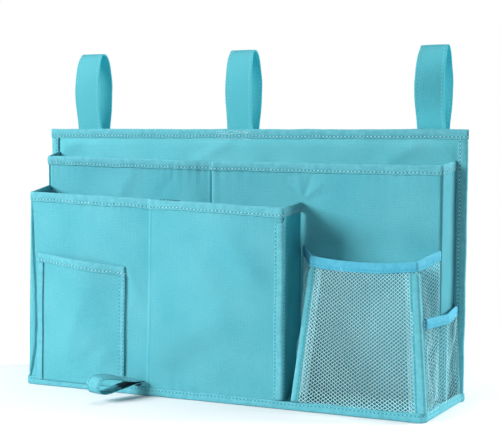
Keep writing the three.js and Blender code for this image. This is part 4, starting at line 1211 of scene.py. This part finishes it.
# %% The five nets
def net_mesh(name, wall, cut, sag, bulge, seed, knit):
    """cut trims the first seam, the second, the foot and the top, in millimetres."""
    (width, height), (pitch, yarn) = wall_size(wall), knit
    u, v = (cut[0] / width, 1 - cut[1] / width), (cut[2] / height, 1 - cut[3] / height)
    corners = {f"{end} {label}": tuple(wall_point(wall, np.array(share), np.array(rise))[0] * MM)
               for label, share in zip("AB", u) for end, rise in zip(("Foot", "Top"), v)}
    _, out = wall_point(wall, np.array(0.5), np.array(0.5))
    chains = int(round(width * (u[1] - u[0]) / (pitch / 2))) + 1
    piece = grow(name, NET_TREE, {
        **corners, "Chains": chains, "Rows": int(round(height * (v[1] - v[0]) / (NET_ROW / 2))) + 1,
        "Reach": NET_REACH / (chains - 1), "Sag": sag / height, "Bulge": tuple(out * bulge * MM),
        "Yarn": yarn / 2 * MM, "Wobble": NET_WOBBLE * MM,
        "Folds": tuple(out * NET_FOLD * MM), "Seed": float(seed), "Material": YARN})
    return piece, out


def net(node, wall, cut, seed, knit=SIDE_KNIT, sag=0, bulge=0.0, hems=()):
    """A net with its doubled hems, declared with the share of its wall that the yarn covers."""
    piece, out = net_mesh("knitted_" + node, wall, cut, sag, bulge, seed, knit)
    if hems:
        whole = bmesh.new()
        whole.from_mesh(piece.data)
        for index, hem_cut in enumerate(hems):
            hem, _ = net_mesh("hem", wall, hem_cut, 0, 0.0, seed + 20 + index, HEM_KNIT)
            hem.data.transform(Matrix.Translation(out * HEM_OUT * MM))
            whole.from_mesh(hem.data)
            bpy.data.objects.remove(hem)
        whole.to_mesh(piece.data)
        whole.free()
    width, height = wall_size(wall)
    pitch, yarn = knit
    # A sheet's area is half its skin, less what the chains share where they touch, and it may
    # not be declared as under 0.3 of its wall.
    zigzag = math.hypot(NET_REACH / 2 * pitch, NET_ROW / 2) / (pitch / 2 * NET_ROW / 2)
    cover = max(0.305, 0.85 * math.pi / 2 * yarn * zigzag)
    print(piece.name, len(piece.data.polygons), "faces")
    return dress(piece, "caddy", node, slot="net", flat=(width, height),
                 area=cover * width * height)


net("net_left", NET_LEFT, (0.4, 0.3, 0.3, 0.3), 301, bulge=1.0)
net("net_front", NET_FRONT, (0.3, 0.3, 0.0, 0.3), 302, FRONT_KNIT, NET_SAG, 2.5, HEMS)
net("net_right", NET_RIGHT, (0.3, 0.3, 0.0, 0.3), 303)
net("side_net_front", SIDE_FRONT, (3.0, 0.15, 0.0, 0.3), 304)
net("side_net_back", SIDE_BACK, (0.15, 0.3, 0.0, 0.3), 305)

# %% [markdown]
# The nets' tapes are narrow elastic at the rim, and the same seam tape at the corners.

# %% Tapes of the nets
folded_tape("net_pocket_tape", "net_rim_tape",
            [rim(NET_LEFT), rim(NET_FRONT, None, NET_SAG), rim(NET_RIGHT)],
            (1.8, 1.8), 251, MATCHED_LINES, ELASTIC)
folded_tape("side_pocket_tape", "side_rim_tape", [rim(SIDE_FRONT), rim(SIDE_BACK)],
            (6.6, 0.8), 254, MATCHED_LINES, ELASTIC)
for side, first, second, seed in (("left", NET_LEFT, NET_FRONT, 257),
                                  ("right", NET_FRONT, NET_RIGHT, 260)):
    corner_tape(f"net_{side}_corner_band", f"net_{side}_corner_tape", rim(first), rim(second),
                0.0, FRONT_NET_H - 10.8, seed, MATCHED_LINES)
print("rows of matched stitches:", len(MATCHED_LINES))

# %% [markdown]
# ## Hanging straps
# Each strap is one strip of folded cloth. It is sewn behind the top of the back, rises over a
# rail and comes down again behind, where a patch of hook and loop holds its tail. Its edge is
# drawn as a curve in the Y-Z plane. It is cut in two pieces at the crown, so that each bends
# across one joint: the rise at the sewn end, the fall at the crown.

# %% The path of a strap
STRAP_STEP = 1.8


def bezier(a, b, c, d, count=16):
    t = np.linspace(0, 1, count)[:, None]
    a, b, c, d = (np.array(p, float) for p in (a, b, c, d))
    return (1 - t) ** 3 * a + 3 * t * (1 - t) ** 2 * b + 3 * t ** 2 * (1 - t) * c + t ** 3 * d


def evenly(points, step):
    gaps = np.linalg.norm(np.diff(points, axis=0), axis=1)
    points = points[np.concatenate([[True], gaps > 1e-6])]
    run = run_along(points)
    marks = np.linspace(0, run[-1], int(run[-1] / step) + 1)
    return np.stack([np.interp(marks, run, points[:, i]) for i in range(2)], 1)


RISE_PATH = evenly(np.vstack([
    [(51.6, 270.6)], bezier((51.6, 290.9), (50.4, 330), (48.6, 368), (59.3, 377.2))]), STRAP_STEP)
FALL_PATH = evenly(np.vstack([
    bezier((59.3, 377.2), (61.4, 378.7), (63.6, 378.95), (65.6, 378.95), 6),
    bezier((65.6, 378.95), (73.0, 378.95), (79.4, 362), (79.6, 342)),
    bezier((79.6, 342), (79.8, 325), (76.6, 306), (73.2, 290)),
    bezier((73.2, 290), (70.6, 279), (53.6, 271), (53.6, 258)), [(53.6, 198)]]), STRAP_STEP)
print("strap:", round(STRAP_STEP * (len(RISE_PATH) + len(FALL_PATH))), "mm long")

# %% Strap pieces
STRAP_W, STRAP_T, STRAP_EDGE, CROWN_Z, CROWN_H = 31.0, 1.7, 3.0, 379, 13
# How far each strap drifts and bows sideways in millimetres, and turns on its way up in degrees.
STRAP_LEAN = {"left": (0.0, -2.0, 2), "middle": (1.0, -1.0, 2), "right": (1.6, -3.0, 17)}
# Where each joint bends the cloth, as (y, z) in metres. The way from the first point to the second
# has the whole tail behind it, so all of the tail swings with the rear strand.
SEAM_BEND = (0.0516, 0.2885), (0.0516, 0.297)
CROWN_BEND = (0.0595, 0.3785), (0.068, 0.372)


def flat_ring(quarter):
    """Mirrors a quarter of a flat strip's outline to its other edge, and then to its back."""
    top = [*quarter, *[(a, -d) for a, d in quarter[::-1]]]
    return [*top, *[(-a, d) for a, d in top[::-1]]]


def strap_piece(name, path, x, shift, yaw, seed):
    """A flat strip with folded edges; shift moves it sideways and yaw turns it, at each point.
    The rows of stitches along its edges come with it."""
    count, thick = len(path), STRAP_T / 2
    origin = np.stack([x + shift, path[:, 0], path[:, 1]], 1)
    across = np.stack([np.cos(yaw), np.sin(yaw), np.zeros(count)], 1)
    out = unit(np.cross(across, np.gradient(origin, axis=0)))
    crown = np.clip((path[:, 1] - CROWN_Z + CROWN_H) / CROWN_H, 0, 1) ** 2
    half = STRAP_W / 2 * (1 - 0.06 * crown) + wander(count, seed, 0.22)
    outlines = np.array([flat_ring([
        (thick * 0.55, h), (thick * 1.05, h - 0.8), (thick * 0.98, h - 1.8),
        (thick * 0.72, h - STRAP_EDGE), (thick * 1.0, h - 5.0), (thick * 1.08, h * 0.4)])
        for h in half])
    bow = ripples(np.arange(count) * STRAP_STEP, np.zeros(count), seed, 45, 0.25)[:, None]
    piece = sweep(name, (origin + out * bow, out, across), outlines, STRAP_CLOTH)
    edge = (half - STRAP_EDGE)[:, None]
    return piece, [(origin + across * side * edge + out * (face * (thick * 0.72 + 0.12) + bow),
                    out * face) for side in (1, -1) for face in (1, -1)]


def bend(piece, x, first, second, ends):
    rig.blend(piece, first, second, *[(x * MM, *end) for end in ends])


def risen(z):
    return np.clip((z - BACK_H) / (CROWN_Z - BACK_H), 0, 1)


print("a strap is", STRAP_W, "x", STRAP_T, "mm")

# %% The three straps
STRAP_LINES = {}
for side, (drift, bow, most) in STRAP_LEAN.items():
    x, (rise_z, fall_z) = STRAP_X[side], (RISE_PATH[:, 1], FALL_PATH[:, 1])
    up = risen(rise_z)
    lean = drift * 0.12 * np.sin(math.pi * up / 2) + bow * np.sin(math.pi * up)
    swing = drift * (0.12 + np.sin(math.pi * np.clip((CROWN_Z - fall_z) / 90, 0, 1)) ** 2)
    # The strap turns its edge to the rail at the crown, and its face on the way up.
    crowned = [math.radians(-4) * risen(z) ** 3 for z in (rise_z, fall_z)]
    turn = crowned[0] + math.radians(most) * np.sin(math.pi * up) ** 2
    rise_path = RISE_PATH - np.stack([1.6 * np.sin(math.pi * up), 0 * up], 1)
    rise, rise_lines = strap_piece(f"{side}_strap_rise", rise_path, x, lean, turn, 401)
    fall, fall_lines = strap_piece(f"{side}_strap_fall", FALL_PATH, x, swing, crowned[1], 402)
    bend(rise, x, "caddy", f"{side}_strap_front", SEAM_BEND)
    bend(fall, x, f"{side}_strap_front", f"{side}_strap_rear", CROWN_BEND)
    for piece, path, nodes in ((rise, RISE_PATH, ("strap_sewn_end", "strap_front")),
                               (fall, FALL_PATH, ("strap_rear",))):
        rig.replaces(piece, *[f"{side}_{node}" for node in nodes])
        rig.slot(piece, "strap_cloth")
        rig.sheet(piece, flat=(STRAP_W * MM, run_along(path)[-1] * MM), held="folded")
    STRAP_LINES[side] = rise_lines, fall_lines
    print(side, "strap drawn")

# %% [markdown]
# The hook patch is sewn on the tail and rides with it. The loop patch stays on the back. Both
# are short rounded slabs of pile, hidden behind the tail until a strap is opened.

# %% Hook and loop patches
PILE_THICK, PILE_TOP = 1.1, 244.5
HOOK, LOOP = (27.0, 51.35, 200.5), (31.0, 49.85, 185.5)  # width, front and foot


def pile_patch(name, body, node, x, width, y, low):
    wall = box_wall(x + width / 2, x - width / 2, y + PILE_THICK / 2, low, PILE_TOP)

    def edge(s, t):
        near = np.minimum(np.minimum(s, width - s), np.minimum(t, PILE_TOP - low - t))
        return -0.25 * (1 - np.clip(near / 1.5, 0, 1)) ** 2
    dress(panel(name, wall, PILE, edge, thick=PILE_THICK, step=1.5), body, node,
          slot="hook_and_loop", flat=(width, PILE_TOP - low))


for side, x in STRAP_X.items():
    pile_patch(f"{side}_hook_tape", f"{side}_strap_rear", f"{side}_hook_patch", x, *HOOK)
    pile_patch(f"{side}_loop_tape", "caddy", f"{side}_loop_patch", x, *LOOP)
print("patches:", 2 * len(STRAP_X))

# %% [markdown]
# ## Key loop
# A short length of the seam tape is folded double and caught in the front foot seam. It has sprung
# open into an eye, and it points to the front and to the left. Its inside is faced with a dark
# tape, up to the bend, and its stitches show only outside. One sweep along a drawn curve makes
# it, because the curve gives the eye its shape and the tape's width stays what it is.

# %% Key loop
KEY_X, KEY_Y, KEY_REACH, KEY_W, KEY_STEP = -83.0, -50.8, 48.0, 18.0, 1.4
KEY_DRIFT, KEY_TURN, KEY_ROLL = math.radians(34), math.radians(14), math.radians(15)
DARK_REACH, KEY_ROW, KEY_FACE = 24.0, 7.0, 0.52
# The tape bends within its first 13 mm, so nothing of it turns into the wall when it lifts.
KEY_BEND = (-0.083, -0.0512, 0.0124), (-0.083, -0.064, 0.0124)
KEY_PATH = evenly(np.vstack([
    bezier((KEY_Y, 10.2), (-51.2, 14.5), (-53.5, 16.5), (-60, 16.2)),
    bezier((-60, 16.2), (-72, 15.6), (-80, 10.5), (-92, 9.9)),
    bezier((-92, 9.9), (-103.0, 9.8), (-103.0, 27.6), (-92, 27.4)),
    bezier((-92, 27.4), (-80, 27.2), (-72, 21.0), (-60, 19.4)),
    bezier((-60, 19.4), (-55.5, 18.9), (-53.2, 17.2), (KEY_Y - 1.4, 11.9))]), KEY_STEP)


def key_loop():
    reach = KEY_Y - KEY_PATH[:, 0]
    turn = KEY_TURN * np.clip(reach / KEY_REACH, 0, 1)
    origin = np.stack([KEY_X - reach * math.tan(KEY_DRIFT), KEY_PATH[:, 0], KEY_PATH[:, 1]], 1)
    back = np.clip(np.linspace(-1.0, 1.0, len(origin)), 0, 1)
    roll = KEY_ROLL * np.sin(math.pi * back)
    across = np.stack([np.cos(turn) * np.cos(roll), -np.sin(turn) * np.cos(roll),
                       -np.sin(roll)], 1)
    out = unit(np.cross(np.gradient(origin, axis=0), across))
    outlines = np.array([flat_ring([(0.2, half), (0.6, half - 0.5), (0.42, half - 2.0),
                                    (0.62, half - 3.4), (0.6, 2.0)])
                         for half in KEY_W / 2 + wander(len(origin), 501, 0.25)])
    piece = sweep("key_loop_tape", (origin, out, across), outlines, SEAM_TAPE, (2, 7, 12, 17))
    centres = np.array([tuple(face.center) for face in piece.data.polygons]) / MM
    normals = np.array([tuple(face.normal) for face in piece.data.polygons])
    nearest = np.linalg.norm(centres[:, None] - origin[None], axis=2).argmin(1)
    inner = (normals * out[nearest]).sum(1) > 0.6
    piece.data.materials.append(DARK_FACING)
    faced = inner & (reach[nearest] < DARK_REACH)
    piece.data.polygons.foreach_set("material_index", faced.astype(int))
    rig.blend(piece, "caddy", "key_loop", *KEY_BEND)
    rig.replaces(piece, "key_loop")
    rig.slot(piece, "seam_tape")
    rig.sheet(piece, flat=(KEY_W * MM, run_along(origin)[-1] * MM), held="folded")
    return [(origin + across * side * KEY_ROW - out * KEY_FACE, -out) for side in (1, -1)]


KEY_LINES = key_loop()
print("key loop:", len(KEY_PATH), "stations")

# %% [markdown]
# ## Stitches, by Geometry Nodes
# A lockstitch shows as a row of short dashes with small gaps. The tree takes bare lines, spaces
# points along them by the pitch, and lays one small rounded dash on each, turned along the line
# and pressed into the cloth. Each dash is a little off the line and a little long or short.

# %% The stitches' node tree
def stitch_tree():
    tree, add, given = new_tree("lockstitch", {
        "Geometry": ("Geometry",), "Float": ("Pitch", "Length", "Thickness", "Wobble"),
        "Int": ("Seed",), "Material": ("Material",)})
    lines = add("GeometryNodeMeshToCurve", given["Geometry"])
    marks = add("GeometryNodeResampleCurve", {"Curve": lines, "Length": given["Pitch"]},
                mode="LENGTH")
    tangent = add("GeometryNodeInputTangent")
    facing = add("GeometryNodeInputNamedAttribute", {"Name": "facing"}, data_type="FLOAT_VECTOR")
    turned = add("FunctionNodeAxesToRotation", tangent, facing, primary_axis="X",
                 secondary_axis="Z")
    aside = add(VECTOR + "CROSS_PRODUCT", tangent, facing)
    chance = add("FunctionNodeRandomValue", {2: -1.0, 3: 1.0, "Seed": given["Seed"]},
                 data_type="FLOAT").outputs[1]
    shift = add(VECTOR + "SCALE", {0: aside,
                                   "Scale": add(MATH + "MULTIPLY", chance, given["Wobble"])})
    moved = add("GeometryNodeSetPosition", {"Geometry": marks, "Offset": shift})
    dash = add("GeometryNodeMeshUVSphere", {"Segments": 6, "Rings": 4, "Radius": 0.5})
    size = add("ShaderNodeCombineXYZ", given["Length"], given["Thickness"],
               add(MATH + "MULTIPLY", given["Thickness"], 0.7))
    shaped = add("GeometryNodeTransform", {"Geometry": dash, "Scale": size})
    stretch = add("FunctionNodeRandomValue",
                  {2: 0.82, 3: 1.14, "Seed": add(MATH + "ADD", given["Seed"], 7.0)},
                  data_type="FLOAT").outputs[1]
    placed = add("GeometryNodeInstanceOnPoints", {
        "Points": moved, "Instance": shaped, "Rotation": turned,
        "Scale": add("ShaderNodeCombineXYZ", stretch, 1.0, 1.0)})
    end_tree(add, placed, given["Material"])
    return tree


STITCH_TREE = stitch_tree()


def stitches(name, lines, seed, thread, thick, pitch=4.1, length=2.5, wobble=0.12):
    """One piece of dashes on all the lines; each line has its points and the way they face.
    The sizes are in millimetres."""
    points, facing = (np.concatenate(part) for part in zip(*lines))
    edges, start = [], 0
    for line, _ in lines:
        edges += [(i, i + 1) for i in range(start, start + len(line) - 1)]
        start += len(line)
    carrier = bpy.data.meshes.new(name + "_lines")
    carrier.from_pydata([tuple(p) for p in points * MM], edges, [])
    carrier.attributes.new("facing", "FLOAT_VECTOR", "POINT").data.foreach_set(
        "vector", facing.ravel())
    return grow(name, STITCH_TREE, {
        "Pitch": pitch * MM, "Length": length * MM, "Thickness": thick * MM,
        "Wobble": wobble * MM, "Seed": seed, "Material": thread}, carrier)


print("stitch tree:", len(STITCH_TREE.nodes), "nodes")

# %% [markdown]
# Two places are sewn over again by hand: the tape in front of the middle strap, in three uneven
# rows of pale thread, and the top of the front rim, where a few dark ends of thread stand out.

# %% Uneven rows and thread ends
TAPE_FACE_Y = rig.box("top_binding")[0][1] / MM - 0.3
TACK_X = np.arange(-33.0, 9.0, 2.0)
tack_lines, end_lines = [], []
for drop, seed in ((2.6, 611), (4.6, 612), (10.6, 613)):
    z = BACK_H - drop + wander(len(TACK_X), seed, 0.9)
    tack_lines.append((np.stack([TACK_X, np.full_like(z, TAPE_FACE_Y), z], 1),
                       np.tile((0.0, -1.0, 0.0), (len(z), 1))))
for start, stop in ((163.0, 171.0), (174.0, 184.0)):
    s = np.linspace(start, stop, 6)
    line, _ = cloth_point(FRONT, s, np.full(6, FRONT_HEIGHT + 1.5), None, 0, 0.6)
    end_lines.append((line, np.tile((0.0, 0.0, 1.0), (6, 1))))
dress(stitches("tack_stitches", tack_lines, 607, THREAD, 0.6, 2.9, wobble=0.6), "caddy")
dress(stitches("thread_ends", end_lines, 608, DARK_FACING, 0.9, 2.7, 3.0, 0.4), "caddy")
print("rows sewn again:", len(tack_lines), "and", len(end_lines))

# %% [markdown]
# Every other row is grown in one piece for each body and thread, so that the stitches move with
# what they sew.

# %% Stitches of each body
for name, lines, seed, thread, thick in (
        ("caddy_stitches", CADDY_LINES, 601, THREAD, 0.8),
        ("caddy_soft_stitches", SOFT_LINES, 605, SOFT_THREAD, 0.7),
        ("caddy_matched_stitches", MATCHED_LINES, 606, MATCHED_THREAD, 0.6)):
    piece = dress(stitches(name, lines, seed, thread, thick), "caddy")
    print(name, len(piece.data.polygons), "faces")
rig.blend(stitches("key_loop_stitches", KEY_LINES, 602, SOFT_THREAD, 0.5), "caddy",
         "key_loop", *KEY_BEND)
for side, (rise_lines, fall_lines) in STRAP_LINES.items():
    piece = stitches(f"{side}_rise_stitches", rise_lines, 603, SOFT_THREAD, 0.5)
    bend(piece, STRAP_X[side], "caddy", f"{side}_strap_front", SEAM_BEND)
    piece = stitches(f"{side}_fall_stitches", fall_lines, 604, SOFT_THREAD, 0.5)
    bend(piece, STRAP_X[side], f"{side}_strap_front", f"{side}_strap_rear", CROWN_BEND)

# %% [markdown]
# ## The boards
# Two CAD solids are kept as they are: the boards inside the back and the base, which show only
# at the back's foot and between cloth edges. They get their finish and nothing else.

# %% Boards
for name in ("back_stiffener_board", "base_stiffener_board"):
    board = bpy.data.objects[name]
    board.data.materials.clear()
    board.data.materials.append(BOARD)
    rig.slot(board, "stiffener")
print("boards finished")

# %% [markdown]
# ## Floor, light and background
# The photograph has a white background and a soft shadow on the ground. Two strong soft boxes
# stand at the front left and at the rear right, two weak ones light the top and the front, and
# the world is pale. The floor fades out round the caddy, so that no edge of it shows.

# %% Floor and lights
FADE_FROM, FADE_TO, FLOOR_DROP = 0.34, 0.62, 0.0003


def floor():
    mesh = bpy.data.meshes.new("floor")
    mesh.from_pydata([(-3, -3, 0), (3, -3, 0), (3, 3, 0), (-3, 3, 0)], [], [(0, 1, 2, 3)])
    finish, add = new_finish("matt_white_floor")
    place = add("ShaderNodeTexCoord").outputs["Object"]
    fade = add("ShaderNodeMapRange", {0: add(VECTOR + "LENGTH", place).outputs[1],
                                      1: FADE_FROM, 2: FADE_TO}, interpolation_type="SMOOTHSTEP")
    solid = add("ShaderNodeBsdfDiffuse", {"Color": linear("#EAEBEC")})
    clear = add("ShaderNodeBsdfTransparent")
    add("ShaderNodeOutputMaterial", add("ShaderNodeMixShader", fade, solid, clear))
    mesh.materials.append(finish)
    plane = into_scene("floor", mesh)
    plane.location.z = -FLOOR_DROP
    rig.stage(plane)


def pale_world():
    """White where it is seen, and dim where it only lights."""
    world = bpy.data.worlds.new("white_studio")
    bpy.context.scene.world = world
    world.use_nodes = True
    world.node_tree.nodes.clear()
    add = adder(world.node_tree)
    rays = add("ShaderNodeLightPath").outputs
    seen = add(MATH + "MAXIMUM", rays["Is Camera Ray"], rays["Is Glossy Ray"])
    seen = add(MATH + "MAXIMUM", seen, rays["Is Transmission Ray"])
    white = add("ShaderNodeBackground", {"Color": linear("#FFFFFF"), "Strength": 1.0})
    sky = add("ShaderNodeBackground", {"Color": linear("#FBFBFF"), "Strength": 0.12})
    add("ShaderNodeOutputWorld", add("ShaderNodeMixShader", seen, sky, white))


floor()
pale_world()
# Each lamp's place and target in metres, its size in metres and its power in watts.
for name, place, target, size, power in (
        ("key_light", (-1.15, -1.25, 0.9), (-0.05, 0, 0.15), 0.8, 50),
        ("right_light", (1.6, 0.75, 0.85), (0.1, 0, 0.15), 0.5, 52),
        ("top_light", (-0.2, 0.1, 1.9), (0, 0, 0.1), 0.8, 8),
        ("fill_light", (0.8, -2.2, 0.8), (0, 0, 0.15), 1.4, 8)):
    data = bpy.data.lights.new(name, "AREA")
    data.shape, data.size, data.energy = "SQUARE", size, power
    lamp = into_scene(name, data)
    lamp.location = place
    lamp.rotation_euler = (Vector(target) - Vector(place)).to_track_quat("-Z", "Y").to_euler()
    print(name, power, "W")
bpy.context.scene.view_settings.view_transform = "Standard"

# %% [markdown]
# ## Sizes and the finish
# The CAD box and the finished visual's box are written down side by side, and the frame is closed.

# %% Write the sizes and finish
with open("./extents.json", "w") as out:
    boxes = {"cad": cad_box, "visual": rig.bounds()}
    json.dump({k: [[float(x) for x in corner] for corner in v] for k, v in boxes.items()}, out)
print("CAD box and visual box written")
